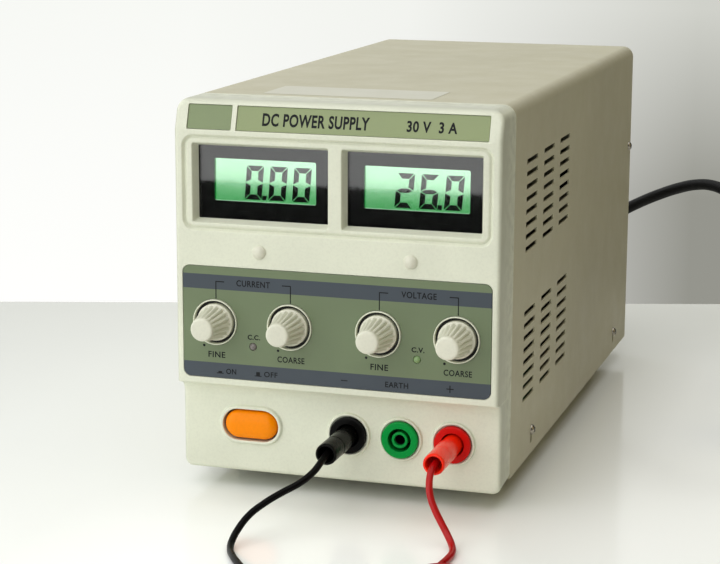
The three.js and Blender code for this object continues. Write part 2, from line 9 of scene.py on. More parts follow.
import bmesh
import bpy
from mathutils import Matrix, Vector
from mathutils.geometry import delaunay_2d_cdt


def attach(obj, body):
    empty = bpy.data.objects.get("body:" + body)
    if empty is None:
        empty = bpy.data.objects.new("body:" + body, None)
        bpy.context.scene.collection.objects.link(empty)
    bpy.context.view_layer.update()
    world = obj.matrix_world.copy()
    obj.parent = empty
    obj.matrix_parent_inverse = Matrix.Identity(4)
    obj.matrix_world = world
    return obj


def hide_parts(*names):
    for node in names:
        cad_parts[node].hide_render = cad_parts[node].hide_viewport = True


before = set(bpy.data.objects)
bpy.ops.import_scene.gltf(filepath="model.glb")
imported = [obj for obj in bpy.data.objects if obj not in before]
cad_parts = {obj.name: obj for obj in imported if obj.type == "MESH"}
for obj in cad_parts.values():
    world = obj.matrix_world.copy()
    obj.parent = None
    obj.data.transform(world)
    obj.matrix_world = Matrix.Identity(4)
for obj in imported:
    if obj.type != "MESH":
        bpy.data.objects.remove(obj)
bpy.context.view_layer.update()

# ---------------------------------------------------------------- frame and driving dimensions

MM = 0.001
MICRON = 0.000001
FOOT_HEIGHT = 9.5
CASE_ORIGIN = Vector((0, -148, FOOT_HEIGHT))
FLOOR_Z = -FOOT_HEIGHT

HALF = 68
HEIGHT = 153.5
BACK = 290
CASE_TOP = HEIGHT + FOOT_HEIGHT  # above the table
SHEET = 0.8
BEZEL_BACK = 23
STEP = 6.6  # how far the lower face lies behind the upper one
LIP = 36.1  # height at which the upper face begins
CORNER = 5.2  # radius of the upper corners
SLOPE_FROM = 141  # height at which the front begins to lean back
SLOPE_BACK = 4  # how far it has leant back at the top
SLOPE_ANGLE = math.atan2(SLOPE_BACK, HEIGHT - SLOPE_FROM)

KNOB_XS = (-51, -18.9, 18.5, 50.9)
KNOB_Z = 62.5
KNOB_NAMES = ("current_fine", "current_coarse", "voltage_fine", "voltage_coarse")
LED_XS = (-34.6, 34.7)
LED_Z = 53.3
BLANK_X = 31.7
BLANK_Z = 92.6
BUTTON = (-38.1, 18.3)
BUTTON_HALF = (11.75, 6.25)  # half its length and half its height
SOCKET_XS = (4.4, 26.4, 48.4)
SOCKET_Z = 18
SOCKET_NAMES = ("negative", "earth", "positive")
SIDES = ((-1, "left"), (1, "right"))


def row(point):
    return (Vector(point) + CASE_ORIGIN) * MM


def linked(name, data):
    """A new object of the scene."""
    made = bpy.data.objects.new(name, data)
    bpy.context.scene.collection.objects.link(made)
    return made


# ---------------------------------------------------------------- camera

AZIMUTH = math.radians(17.29)
ELEVATION = math.radians(11.81)
ROLL = math.radians(0.2)
CAMERA_PLACE = (245.2, -752.7, 248.1)
FOCAL_LENGTH = 101.3
SENSOR_WIDTH = 36


def make_camera():
    out = math.cos(ELEVATION)
    back = Vector((math.sin(AZIMUTH) * out, -math.cos(AZIMUTH) * out, math.sin(ELEVATION)))
    level = Vector((math.cos(AZIMUTH), math.sin(AZIMUTH), 0))
    right = math.cos(ROLL) * level + math.sin(ROLL) * back.cross(level)
    turn = Matrix((right, back.cross(right), back)).transposed().to_4x4()
    camera = linked("camera", bpy.data.cameras.new("camera"))
    camera.data.sensor_width = SENSOR_WIDTH
    camera.data.lens = FOCAL_LENGTH
    camera.data.clip_start = 0.02
    camera.matrix_world = Matrix.Translation(row(CAMERA_PLACE)) @ turn
    bpy.context.scene.camera = camera


make_camera()

# ---------------------------------------------------------------- materials


def linear(color):
    """The colour given as screen values from 0 to 255."""

    def decode(value):
        share = value / 255
        return share / 12.92 if share <= 0.04045 else ((share + 0.055) / 1.055) ** 2.4

    return tuple(decode(value) for value in color)


def shade(color, factor):
    return tuple(channel * factor for channel in color)


class Nodes:
    """A material's node tree, with its Principled shader ready to be fed."""

    def __init__(self, name, color, roughness, metallic=0.0):
        self.material = bpy.data.materials.new(name)
        self.material.use_nodes = True
        self.tree = self.material.node_tree
        self.shader = self.tree.nodes["Principled BSDF"]
        self.color = linear(color)
        self.set(Base_Color=(*self.color, 1), Roughness=roughness, Metallic=metallic)
        self.place = self.add("ShaderNodeTexCoord").outputs["Object"]

    def add(self, kind, **values):
        node = self.tree.nodes.new(kind)
        for name, value in values.items():
            setattr(node, name, value)
        return node

    def plug(self, value, socket):
        """Links a socket's value, or sets a plain one."""
        if isinstance(value, bpy.types.NodeSocket):
            self.tree.links.new(value, socket)
        else:
            socket.default_value = (*value, 1) if isinstance(value, tuple) else value

    def set(self, **values):
        for name, value in values.items():
            self.shader.inputs[name.replace("_", " ")].default_value = value

    def feed(self, name, source):
        self.plug(source, self.shader.inputs[name])

    def noise(self, scale, detail):
        """Noise of that many spots per metre."""
        node = self.add("ShaderNodeTexNoise")
        self.plug(self.place, node.inputs["Vector"])
        for name, value in (("Scale", scale), ("Detail", detail), ("Roughness", 0.55)):
            node.inputs[name].default_value = value
        return node.outputs["Fac"]

    def ramp(self, source, stops, constant=False):
        """Grey or colour that follows the source through (position, colour) stops."""
        node = self.add("ShaderNodeValToRGB")
        node.color_ramp.interpolation = "CONSTANT" if constant else "LINEAR"
        elements = node.color_ramp.elements
        while len(elements) < len(stops):
            elements.new(1.0)
        for element, (position, value) in zip(elements, stops):
            element.position = position
            color = value if isinstance(value, tuple) else (value, value, value)
            element.color = (*color, 1)
        self.plug(source, node.inputs["Fac"])
        return node.outputs["Color"]

    def spots(self, scale, detail, first, second, low=0.3, high=0.7):
        """From the first value to the second where the noise goes from low to high."""
        return self.ramp(self.noise(scale, detail), ((low, first), (high, second)))

    def edges(self, most):
        """How worn an outer edge nearby is, from the piece's "wear", broken up by noise."""
        wear = self.add("ShaderNodeAttribute", attribute_name="wear").outputs["Fac"]
        broken = self.mix(1.0, wear, self.spots(220, 4, 0.1, 1.0, 0.3, 0.6), "MULTIPLY")
        return self.ramp(broken, ((0.1, 0.0), (1.0, most)))

    def mix(self, factor, first, second, blend="MIX"):
        node = self.add("ShaderNodeMix", data_type="RGBA", blend_type=blend)
        for value, number in ((factor, 0), (first, 6), (second, 7)):
            self.plug(value, node.inputs[number])
        return node.outputs[2]

    def separate(self, axis):
        node = self.add("ShaderNodeSeparateXYZ")
        self.plug(self.place, node.inputs["Vector"])
        return node.outputs[axis]

    def span(self, source, low, high):
        """The source's place between low and high, from 0 to 1."""
        node = self.add("ShaderNodeMapRange")
        for name, value in (("Value", source), ("From Min", low), ("From Max", high)):
            self.plug(value, node.inputs[name])
        return node.outputs["Result"]

    def math(self, operation, first, second=0.0):
        node = self.add("ShaderNodeMath", operation=operation)
        self.plug(first, node.inputs[0])
        self.plug(second, node.inputs[1])
        return node.outputs[0]

    def grain(self, scale, detail, strength, depth, under=None):
        """Bumps of that many spots per metre and that depth in microns."""
        node = self.add("ShaderNodeBump")
        height = self.noise(scale, detail)
        for name, value in (("Height", height), ("Strength", strength), ("Distance", depth * MICRON)):
            self.plug(value, node.inputs[name])
        if under is not None:
            self.plug(under, node.inputs["Normal"])
        return node.outputs["Normal"]


def moulded(
    name, color, roughness, grain=2600, depth=30, stain=0.06, coat=0.0, specular=0.5, painted_shade_box=None
):
    """Moulded or painted plastic: fine grain, uneven gloss, faint clouding and rubbed edges.

    The last argument gives the half width and the height, in metres, of a housing whose sides and top
    are painted darker, as painted shade where less light falls on them.
    """
    made = Nodes(name, color, roughness)
    tint = made.spots(34, 4, shade(made.color, 1 - stain), shade(made.color, 1 + stain / 2))
    tint = made.mix(0.6, tint, made.spots(900, 2, 0.94, 1.0, 0.35, 0.55), "MULTIPLY")
    # Painted shade: the sides and top of the housing are darkened, standing in for the lower light there.
    if painted_shade_box:
        reach, top = painted_shade_box
        side = made.span(made.math("ABSOLUTE", made.separate("X")), reach - 0.0012, reach)
        above = made.span(made.separate("Z"), top - 0.0016, top)
        tint = made.mix(made.math("MAXIMUM", side, above), tint, shade(made.color, 0.67))
    rubbed = tuple(min(1, channel * 1.2 + 0.015) for channel in made.color)
    made.feed("Base Color", made.mix(made.edges(0.4), tint, rubbed))
    made.feed("Roughness", made.spots(120, 5, roughness * 0.82, min(1, roughness * 1.22)))
    made.feed("Normal", made.grain(grain, 2, 0.35, depth))
    made.set(Coat_Weight=coat, Coat_Roughness=0.08, Specular_IOR_Level=specular)
    return made.material


def uneven(name, color, tint, gloss, grain, metallic=0.0, specular=0.5):
    """A material of one colour. tint gives the scale, the detail and the two shades of its noise, gloss
    the same with two roughnesses, and grain what Nodes.grain takes."""
    scale, detail, *shades = tint
    made = Nodes(name, color, gloss[-1], metallic)
    made.feed("Base Color", made.spots(scale, detail, *(shade(made.color, factor) for factor in shades)))
    made.feed("Roughness", made.spots(*gloss))
    made.feed("Normal", made.grain(*grain))
    made.set(Specular_IOR_Level=specular)
    return made.material


def metal(name, color, roughness, grain=1800):
    """Plated or cast metal with fine scratches and dull patches."""
    gloss = (160, 5, roughness * 1.35, roughness * 0.8)
    return uneven(name, color, (160, 5, 0.78, 1), gloss, (grain, 3, 0.25, 20), 1.0)


def painted_steel(name, color):
    """Baked paint on sheet steel, with the fine orange peel of a spray gun."""
    made = Nodes(name, color, 0.46)
    tint = made.spots(9, 5, shade(made.color, 0.95), shade(made.color, 1.03))
    tint = made.mix(0.5, tint, made.spots(420, 3, 0.95, 1.0, 0.3, 0.6), "MULTIPLY")
    made.feed("Base Color", made.mix(made.edges(0.5), tint, shade(made.color, 1.25)))
    made.feed("Roughness", made.spots(60, 4, 0.4, 0.54))
    made.feed("Normal", made.grain(3200, 2, 0.2, 20, made.grain(700, 2, 0.3, 50)))
    return made.material


def plain_film(name, color):
    return uneven(name, color, (45, 4, 0.93, 1), (90, 4, 0.34, 0.46), (5200, 2, 0.3, 20))


def banded_film(name, color, band):
    """The matt polyester overlay, with two bands of another colour across it."""
    made = Nodes(name, color, 0.38)
    low, high = 0.04, 0.1

    def stop(z):
        return ((z + FOOT_HEIGHT) * MM - low) / (high - low)

    plain, band = made.color, linear(band)
    stops = ((0.0, band), (stop(45.3), plain), (stop(76.2), band), (stop(82.2), plain))
    bands = made.ramp(made.span(made.separate("Z"), low, high), stops, constant=True)
    made.feed("Base Color", made.mix(1.0, bands, made.spots(40, 4, 0.94, 1.0), "MULTIPLY"))
    made.feed("Roughness", made.spots(90, 4, 0.32, 0.44))
    made.feed("Normal", made.grain(5200, 2, 0.3, 20))
    return made.material


def cord_jacket(name, color, roughness, specular=0.25):
    """Soft PVC, faintly dulled where it has been handled."""
    gloss = (70, 5, roughness * 0.8, roughness * 1.3)
    return uneven(name, color, (70, 5, 0.8, 1.15), gloss, (1400, 3, 0.3, 30), specular=specular)


def clear_sheet(name, color, index):
    """Clear plastic or glass, with the faint haze of fine wiping marks."""
    haze = 0.03
    made = Nodes(name, color, haze)
    made.feed("Roughness", made.spots(55, 5, haze * 0.6, haze * 1.4, 0.35, 0.75))
    made.feed("Normal", made.grain(300, 2, 0.04, 10))
    made.set(Transmission_Weight=1.0, IOR=index)
    return made.material


def lit_display():
    """The backlit green of a liquid-crystal display, with the silvery film behind it."""
    made = Nodes("lcd_green", (225, 228, 226), 0.075, 0.96)
    made.feed("Base Color", made.spots(30, 2, linear((198, 202, 200)), linear((210, 214, 212))))
    made.feed("Emission Color", made.spots(30, 2, linear((12, 140, 52)), linear((26, 150, 64))))
    made.feed("Normal", made.grain(6000, 2, 0.04, 10))
    made.set(Emission_Strength=1.0)
    return made.material


bezel_plastic = moulded("bezel_plastic", (223, 226, 205), 0.42, painted_shade_box=(HALF * MM, CASE_TOP * MM))
knob_plastic = moulded("knob_plastic", (220, 220, 201), 0.42)
orange_plastic = moulded("orange_plastic", (255, 142, 0), 0.2, depth=10, stain=0.02, specular=0.14)
black_plastic = moulded("black_plastic", (10, 10, 9), 0.26, depth=20, specular=0.06)
green_plastic = moulded("green_plastic", (0, 146, 60), 0.32, depth=10, stain=0.04, specular=0.1)
red_plastic = moulded("red_plastic", (205, 12, 4), 0.32, depth=10, stain=0.04, specular=0.14)
plug_red_plastic = moulded("plug_red_plastic", (255, 38, 4), 0.2, depth=10, stain=0.02, specular=0.3)
rubber = moulded("rubber", (30, 30, 30), 0.75, grain=1500, depth=60, stain=0.2)
frame_black = moulded("frame_black", (8, 8, 8), 0.4, depth=10, specular=0.06)
# Painted shade for the inside of the socket bores.
bore_shade_black = moulded("bore_shade_black", (10, 10, 10), 0.5, depth=10, specular=0.2)
digit_black = moulded("digit_black", (4, 16, 9), 0.4, depth=10, specular=0.1)
print_ink = moulded("print_ink", (18, 20, 22), 0.5, 5200, 10, 0.1, specular=0.15)
led_red = moulded("led_red", (118, 112, 108), 0.25, depth=10)
led_green = moulded("led_green", (128, 158, 104), 0.25, depth=10)
black_aluminium = moulded("black_aluminium", (44, 44, 47), 0.38, 900, 20, 0.12, specular=0.7)
capacitor_sleeve = moulded("capacitor_sleeve", (28, 40, 84), 0.25, depth=10, coat=0.5)
circuit_board = moulded("circuit_board", (32, 92, 48), 0.35, grain=900, depth=20, coat=0.3)
plain_steel = metal("plain_steel", (176, 170, 158), 0.24)
zinc_steel = metal("zinc_steel", (188, 190, 186), 0.38)
nickel = metal("nickel", (214, 212, 204), 0.2, 900)
transformer_steel = metal("transformer_steel", (96, 94, 90), 0.5, 1400)
cover_paint = painted_steel("cover_paint", (183, 179, 153))
green_film = banded_film("green_film", (106, 121, 88), (55, 65, 74))
strip_film = plain_film("strip_film", (142, 155, 108))
badge_film = plain_film("badge_film", (126, 141, 99))
label_paper = plain_film("label_paper", (196, 195, 178))
cord_rubber = cord_jacket("cord_rubber", (14, 14, 14), 0.5)
black_lead = cord_jacket("black_lead", (8, 7, 7), 0.32, 0.08)
red_lead = cord_jacket("red_lead", (170, 6, 10), 0.3, 0.3)
lens_acrylic = clear_sheet("lens_acrylic", (246, 249, 246), 1.49)
display_glass = clear_sheet("display_glass", (240, 252, 244), 1.38)
lcd_green = lit_display()

# ---------------------------------------------------------------- outlines and skins

WELD = 0.002  # points nearer than this become one
SHARP = 35  # degrees between faces, over which an edge stays sharp


def arc(cx, cy, radius, start, end, steps):
    angles = [math.radians(start + (end - start) * i / steps) for i in range(steps + 1)]
    return [(cx + radius * math.cos(angle), cy + radius * math.sin(angle)) for angle in angles]


def circle(x, y, radius, steps=48):
    return arc(x, y, radius, 0, 360 * (1 - 1 / steps), steps - 1)


def pill(centre, half_length, half_height, steps=16):
    reach = half_length - half_height
    x, y = centre
    return arc(x + reach, y, half_height, -90, 90, steps) + arc(x - reach, y, half_height, 90, 270, steps)


def rectangle(x0, x1, y0, y1):
    return [(x0, y0), (x1, y0), (x1, y1), (x0, y1)]


def rounded_box(x0, x1, y0, y1, bottom, top=None, inset=0.0, levels=(), steps=8):
    """A counter-clockwise box with round corners, with points on its upright sides at the levels."""
    top = bottom if top is None else top
    corners = (
        (x1 - bottom, y0 + bottom, bottom), (x1 - top, y1 - top, top),
        (x0 + top, y1 - top, top), (x0 + bottom, y0 + bottom, bottom),
    )
    loop = []
    for number, (cx, cy, radius) in enumerate(corners):
        start = -90 + 90 * number
        loop += arc(cx, cy, max(radius - inset, 0.02), start, start + 90, steps)
        if number == 0:
            loop += [(x1 - inset, level) for level in levels]
        if number == 2:
            loop += [(x0 + inset, level) for level in reversed(levels)]
    return loop


def drawn_in(box, radius, least=None):
    """Gives the outline of a box of (x0, x1, z0, z1) for any inset. With a least radius, the corners
    get tighter by the inset, down to that."""
    x0, x1, z0, z1 = box

    def outline(inset):
        corner = radius if least is None else max(radius - inset, least)
        return rounded_box(x0 + inset, x1 - inset, z0 + inset, z1 - inset, corner)

    return outline


def offset(loop, distance):
    """The loop grown by that distance, or drawn in if it is negative."""
    area = sum(a[0] * b[1] - b[0] * a[1] for a, b in zip(loop, [*loop[1:], loop[0]]))
    side = distance if area > 0 else -distance
    grown = []
    for before, point, after in zip([loop[-1], *loop[:-1]], loop, [*loop[1:], loop[0]]):
        first = (Vector(point) - Vector(before)).normalized()
        second = (Vector(after) - Vector(point)).normalized()
        out = Vector((first.y + second.y, -first.x - second.x))
        out *= 2 * side / max(out.length_squared, 0.5)
        grown.append((point[0] + out.x, point[1] + out.y))
    return grown


def inside(point, loop):
    x, y = point
    xs, ys = zip(*loop)
    if not (min(xs) <= x <= max(xs) and min(ys) <= y <= max(ys)):
        return False
    found = False
    for (x0, y0), (x1, y1) in zip(loop, [*loop[1:], loop[0]]):
        if (y0 > y) != (y1 > y) and x < x0 + (y - y0) * (x1 - x0) / (y1 - y0):
            found = not found
    return found


def at(depth):
    """Puts (x, z) at one depth, or at a depth that follows z."""
    return lambda x, z: (x, depth(z) if callable(depth) else depth, z)


def ring_at(outline, depth):
    place = at(depth)
    return [place(x, z) for x, z in outline]


def settle(made, body, nodes=()):
    """The piece rides on its body and stands for those CAD nodes."""
    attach(made, body)
    if nodes:
        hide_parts(*nodes)


class Skin:
    """A surface put together from rings and flat regions that share their edge points."""

    def __init__(self):
        self.points = []
        self.faces = []

    def add(self, other):
        start = len(self.points)
        self.points.extend(other.points)
        self.faces.extend(tuple(start + i for i in face) for face in other.faces)

    def ring(self, points):
        start = len(self.points)
        self.points.extend(points)
        return range(start, len(self.points))

    def join(self, first, second):
        """The faces between two rings, either of which may be a single point."""
        count = max(len(first), len(second))
        for i in range(count):
            j = (i + 1) % count
            if len(first) == 1:
                self.faces.append((first[0], second[i], second[j]))
            elif len(second) == 1:
                self.faces.append((first[i], first[j], second[0]))
            else:
                self.faces.append((first[i], first[j], second[j], second[i]))

    def loft(self, rings):
        made = [self.ring(points) for points in rings]
        for first, second in zip(made, made[1:]):
            self.join(first, second)

    def cap(self, points):
        self.faces.append(tuple(self.ring(points)))

    def solid(self, rings):
        """The rings lofted and closed at both ends."""
        self.loft(rings)
        self.cap(rings[0])
        self.cap(rings[-1])

    def sink(self, shape, steps):
        """Rings of the shape at (size, depth) steps; gives back the first and last outline."""
        outlines = [shape(size) for size, _ in steps]
        self.loft([ring_at(outline, depth) for outline, (_, depth) in zip(outlines, steps)])
        return outlines[0], outlines[-1]

    def block(self, shape, steps):
        """The same, closed at both ends."""
        self.solid([ring_at(shape(size), depth) for size, depth in steps])

    def region(self, outline, holes, place, lines=(), guard=0.0):
        """The area inside the outline and outside the holes, cut along the lines and put in place.

        With a guard, a second loop that far from each edge keeps the rounding of the edge out of the
        flat beyond it."""
        loops = [outline, *holes]
        if guard:
            loops += [offset(outline, -guard), *(offset(hole, guard) for hole in holes)]
        flat, edges = [], []
        for loop in loops:
            start = len(flat)
            flat.extend(Vector(point) for point in loop)
            edges.extend((start + i, start + (i + 1) % len(loop)) for i in range(len(loop)))
        for a, b in lines:
            edges.append((len(flat), len(flat) + 1))
            flat.extend((Vector(a), Vector(b)))
        corners, _, triangles, *_ = delaunay_2d_cdt(flat, edges, [], 0, 1e-5)
        start = len(self.points)
        self.points.extend(place(*corner) for corner in corners)
        for triangle in triangles:
            middle = sum((corners[i] for i in triangle), Vector((0, 0))) / 3
            if inside(middle, outline) and not any(inside(middle, hole) for hole in holes):
                self.faces.append(tuple(start + i for i in triangle))

    def moved(self, place):
        """The same skin with each of its points put in place."""
        self.points = [tuple(place(point)) for point in self.points]
        return self

    def piece(
        self, name, material, body="case", node=None, slot=None, sharp=SHARP, flat=True, parent=None
    ):
        """The piece: welded, turned outwards, and smooth but for its edges. node is the CAD node it
        stands for, and flat keeps the rounding of its edges out of its flat faces."""
        mesh = bpy.data.meshes.new(name)
        mesh.from_pydata([row(point) for point in self.points], [], self.faces)
        cleaned = bmesh.new()
        cleaned.from_mesh(mesh)
        bmesh.ops.remove_doubles(cleaned, verts=cleaned.verts, dist=WELD * MM)
        stray = [vertex for vertex in cleaned.verts if not vertex.link_faces]
        bmesh.ops.delete(cleaned, geom=stray, context="VERTS")
        bmesh.ops.recalc_face_normals(cleaned, faces=cleaned.faces)
        wear = cleaned.verts.layers.float.new("wear")
        for vertex in cleaned.verts:
            bend = max((edge.calc_face_angle_signed(0) for edge in vertex.link_edges), default=0)
            vertex[wear] = min(1, max(0, (math.degrees(bend) - 12) / 30))
        cleaned.to_mesh(mesh)
        cleaned.free()
        mesh.shade_smooth()
        mesh.set_sharp_from_angle(angle=math.radians(sharp))
        mesh.materials.append(material)
        made = linked(name, mesh)
        if flat:
            made.modifiers.new("weighted", "WEIGHTED_NORMAL").keep_sharp = True
        settle(made, body, (node,) if node else ())
        if parent:
            made.parent = parent
            made.matrix_parent_inverse = parent.matrix_world.inverted()
        return made


def turned(profile, centre=(0, 0, 0), steps=48, axis="y"):
    """The skin of a closed profile of (radius, along) pairs turned about a line through the centre."""

    def corner(radius, along, i):
        angle = 2 * math.pi * i / steps
        a, b = radius * math.cos(angle), radius * math.sin(angle)
        shift = {"x": (along, a, b), "y": (a, along, b), "z": (a, b, along)}[axis]
        return tuple(c + s for c, s in zip(centre, shift))

    skin = Skin()
    skin.loft([[corner(*pair, i) for i in range(steps if pair[0] else 1)] for pair in profile])
    return skin


# ---------------------------------------------------------------- cords on the floor

# The routes repeat the CAD's up to where each coil begins.
MAINS_ROUTE = [
    (40, 316.3, 48.5), (41.6, 327, 49.6), (46.6, 336.4, 52.8), (54.6, 343.2, 57.6), (64.4, 346.6, 62.8),
    (75, 346.8, 67.8), (85.4, 345, 72), (95.4, 341.6, 75), (105, 337, 75.8), (114.3, 331.4, 73.4),
    (122.8, 325.6, 67.8), (129.8, 320.2, 59.6), (135, 315, 49.6), (138.6, 309.8, 38.8), (141, 304, 27.4),
    (142.6, 297.2, 16.2), (143.6, 289, 6.6), (144, 279.6, -0.6), (144, 269.6, -5), (144, 260, -6.4),
]
MAINS_TAIL = [(159.6, 207.8, 6.3), (163.3, 202.2, 7.6), (165.4, 197, 8.7), (166, 190.5, 9)]
MAINS_DIAMETER = 6
MAINS_RADII = (33, 39)  # of the coil's inner and outer turns
MAINS_COIL = (183, 240)
MAINS_PLUG = (166, 194)
MAINS_PLUG_RADIUS = 18.5
LEAD_DIAMETER = 2.8
LEAD_RADII = (14.1, 16.9)
LEAD_PLUG_RADIUS = 4.4
# start is the angle at which the coil begins, way its direction and last how far its last turn goes.
LEADS = {
    "negative": {
        "route": [
            (4.4, -14.3, 18), (4.4, -22, 17.9), (4.3, -29, 16.6), (2.6, -35.5, 13.6), (-1.2, -41, 10.6),
            (-6.6, -45.6, 7.8), (-11.8, -50, 4.6), (-16.3, -54.4, 0.9), (-19, -58.8, -3.2),
            (-19.8, -64.2, -6.6), (-18.2, -70.4, -8), (-14.8, -77, -8), (-10, -84, -8),
            (-4.3, -91.6, -8), (1.8, -100.2, -8.1),
        ],
        "tail": [(5.9, -109.2, -4.9), (10.4, -111.8, -5), (15.7, -114.9, -5.1), (22.4, -118.7, -5.1)],
        "coil": (-6.5, -121.5), "start": 30, "way": -1, "last": 320,
        "loose": (15.7, -114.9), "socket": SOCKET_XS[0],
        "cord": black_lead, "plug": black_plastic, "slot": "black_plastic",
    },
    "positive": {
        "route": [
            (48.4, -14.3, 18), (48.4, -22, 17.8), (48.5, -28, 16.2), (49, -32, 12.6), (50.2, -34.2, 8.2),
            (52.4, -35.6, 3.8), (55.2, -36.8, -0.6), (58.2, -38.6, -4.6), (61, -42.4, -7.3),
            (62.7, -48.4, -8), (62.8, -55.6, -8), (61.9, -64, -8), (60.9, -72.5, -8), (60.5, -82, -8.1),
        ],
        "tail": [(72.8, -110.9, -3.2), (77.6, -113.7, -4.6), (82.7, -116.6, -5.1), (89.4, -120.4, -5.1)],
        "coil": (77.4, -94), "start": 180, "way": 1, "last": 60,
        "loose": (82.7, -116.6), "socket": SOCKET_XS[2],
        "cord": red_lead, "plug": plug_red_plastic, "slot": "red_plastic",
    },
}
CLIMB = 100  # degrees of a turn over which the cord goes up to the next
HUMP = 2  # how far it rises above both on its way


def coil_turns(centre, turns, start, way, last, step=20):
    """Points round a coil that lies flat. turns is a list of (radius, height of the cord's middle), all
    full but the last, which covers that many degrees. At the end of each the cord climbs over itself to
    the next. way is 1 counter-clockwise, seen from above."""
    points = []
    for number, (radius, height) in enumerate(turns):
        final = number == len(turns) - 1
        after = turns[number] if final else turns[number + 1]
        for degrees in range(0, last + 1 if final else 360, step):
            share = max(0.0, (degrees - 360 + CLIMB) / CLIMB)
            ease = share * share * (3 - 2 * share)
            r = radius + (after[0] - radius) * ease
            z = height + (after[1] - height) * ease
            if number > 0 and not final:
                z += HUMP * math.sin(math.pi * share)
            angle = math.radians(start + way * degrees)
            points.append((centre[0] + r * math.cos(angle), centre[1] + r * math.sin(angle), z))
    return points


def make_curve(name, points, diameter, material):
    """A smooth round cord through the points."""
    curve = bpy.data.curves.new(name, "CURVE")
    curve.dimensions = "3D"
    curve.bevel_depth = diameter / 2 * MM
    curve.bevel_resolution = 4
    curve.resolution_u = 6
    curve.use_fill_caps = True
    spline = curve.splines.new("BEZIER")
    spline.bezier_points.add(len(points) - 1)
    for bezier, point in zip(spline.bezier_points, points):
        bezier.co = row(point)
        bezier.handle_left_type = "AUTO"
        bezier.handle_right_type = "AUTO"
    curve.materials.append(material)
    return linked(name, curve)


def mains_points():
    low = FLOOR_Z + MAINS_DIAMETER / 2
    middle, high = low + MAINS_DIAMETER, low + 2 * MAINS_DIAMETER
    inner, outer = MAINS_RADII
    turns = [(outer, low), (inner, low), (inner, middle), (outer, middle), (inner, high), (outer, high)]
    return MAINS_ROUTE + coil_turns(MAINS_COIL, turns, 180, 1, 40) + MAINS_TAIL


def lead_points(lead):
    low = FLOOR_Z + LEAD_DIAMETER / 2
    high = low + LEAD_DIAMETER
    inner, outer = LEAD_RADII
    turns = [(outer, low), (inner, low), (inner, high), (outer, high)]
    # A short last turn lies on the full ones, as a third layer.
    if lead["last"] < 90:
        turns.append((outer, high + LEAD_DIAMETER))
    coil = coil_turns(lead["coil"], turns, lead["start"], lead["way"], lead["last"])
    return lead["route"] + coil + lead["tail"]


def make_cords():
    """The three free cords, each with its coil, its tie and the plug at its far end."""
    mains = make_curve("mains_cord_line", mains_points(), MAINS_DIAMETER, cord_rubber)
    settle(mains, "case", ("mains_cord", "mains_coil"))
    tie = coil_tie("mains_tie", MAINS_COIL, MAINS_RADII, MAINS_DIAMETER, 3, 250, "case")
    make_mains_plug()
    for word, lead in LEADS.items():
        body = f"{word}_lead"
        line = make_curve(f"{word}_lead_line", lead_points(lead), LEAD_DIAMETER, lead["cord"])
        settle(line, body, (f"lead_{word}", f"lead_coil_{word}"))
        tie = coil_tie(f"{word}_tie", lead["coil"], LEAD_RADII, LEAD_DIAMETER, 2, 130, body)
        make_loose_plug(word)


def coil_tie(name, centre, radii, diameter, layers, degrees, body):
    """A flat band round the bundle of turns at one place."""
    half_width, thick = (2.5, 0.5) if diameter > 4 else (1.6, 0.35)
    inner, outer = radii[0] - diameter / 2, radii[1] + diameter / 2
    top = FLOOR_Z + layers * diameter
    cos, sin = math.cos(math.radians(degrees)), math.sin(math.radians(degrees))
    loops = []
    for grown, side in ((0, -1), (thick, -1), (thick, 1), (0, 1)):
        across = side * half_width
        low = FLOOR_Z + 0.05 - grown * 0.1
        section = rounded_box(inner - grown, outer + grown, low, top + grown, diameter * 0.45, steps=5)
        loops.append(
            [(centre[0] + r * cos - across * sin, centre[1] + r * sin + across * cos, z) for r, z in section]
        )
    skin = Skin()
    skin.loft([*loops, loops[0]])
    return skin.piece(name, rubber, body)


def make_plug(name, word, place, node):
    """A 4 mm plug with a fixed sheath, and its pin as a second piece."""
    lead = LEADS[word]
    # From the foot of the pin out over the sheath, round to the hollow that takes the lead.
    sleeve = [
        (0, -3.7), (3.75, -3.6), (3.75, 13.7), (3.85, 14), (4.05, 14), (4.15, 13.7), (4.15, -2.6),
        (4.4, -3.1), (4.4, -12.2), (4.22, -12.6), (4.22, -13.4), (4.4, -13.8), (4.4, -23), (4.3, -23.6),
        (4.05, -23.95), (3.75, -24), (3.45, -23.9), (3.25, -23.5), (3.1, -22.6), (2.7, -14.6),
        (2.2, -14.1), (0, -14.1),
    ]
    pin = [(0, 23), (0.9, 22.9), (1.5, 22.4), (1.85, 21.2), (1.9, 19.5), (1.9, -3.6), (0, -3.6)]

    def placed(profile):
        return turned(profile, steps=40).moved(lambda point: place @ Vector(point))

    body = f"{word}_lead"
    made = placed(sleeve).piece(f"{name}_sleeve", lead["plug"], body, node, lead["slot"])
    placed(pin).piece(f"{name}_pin", nickel, body, parent=made)
    return made


def make_loose_plug(word):
    place = (
        Matrix.Translation((*LEADS[word]["loose"], FLOOR_Z + LEAD_PLUG_RADIUS))
        @ Matrix.Rotation(math.radians(-120), 4, "Z")
        @ Matrix.Translation((0, 24, 0))
    )
    return make_plug(f"{word}_loose_plug", word, place, f"loose_plug_{word}")


def make_socket_plugs():
    for word, lead in LEADS.items():
        place = Matrix.Translation((lead["socket"], 0, SOCKET_Z))
        make_plug(f"{word}_socket_plug", word, place, f"plug_{word}")


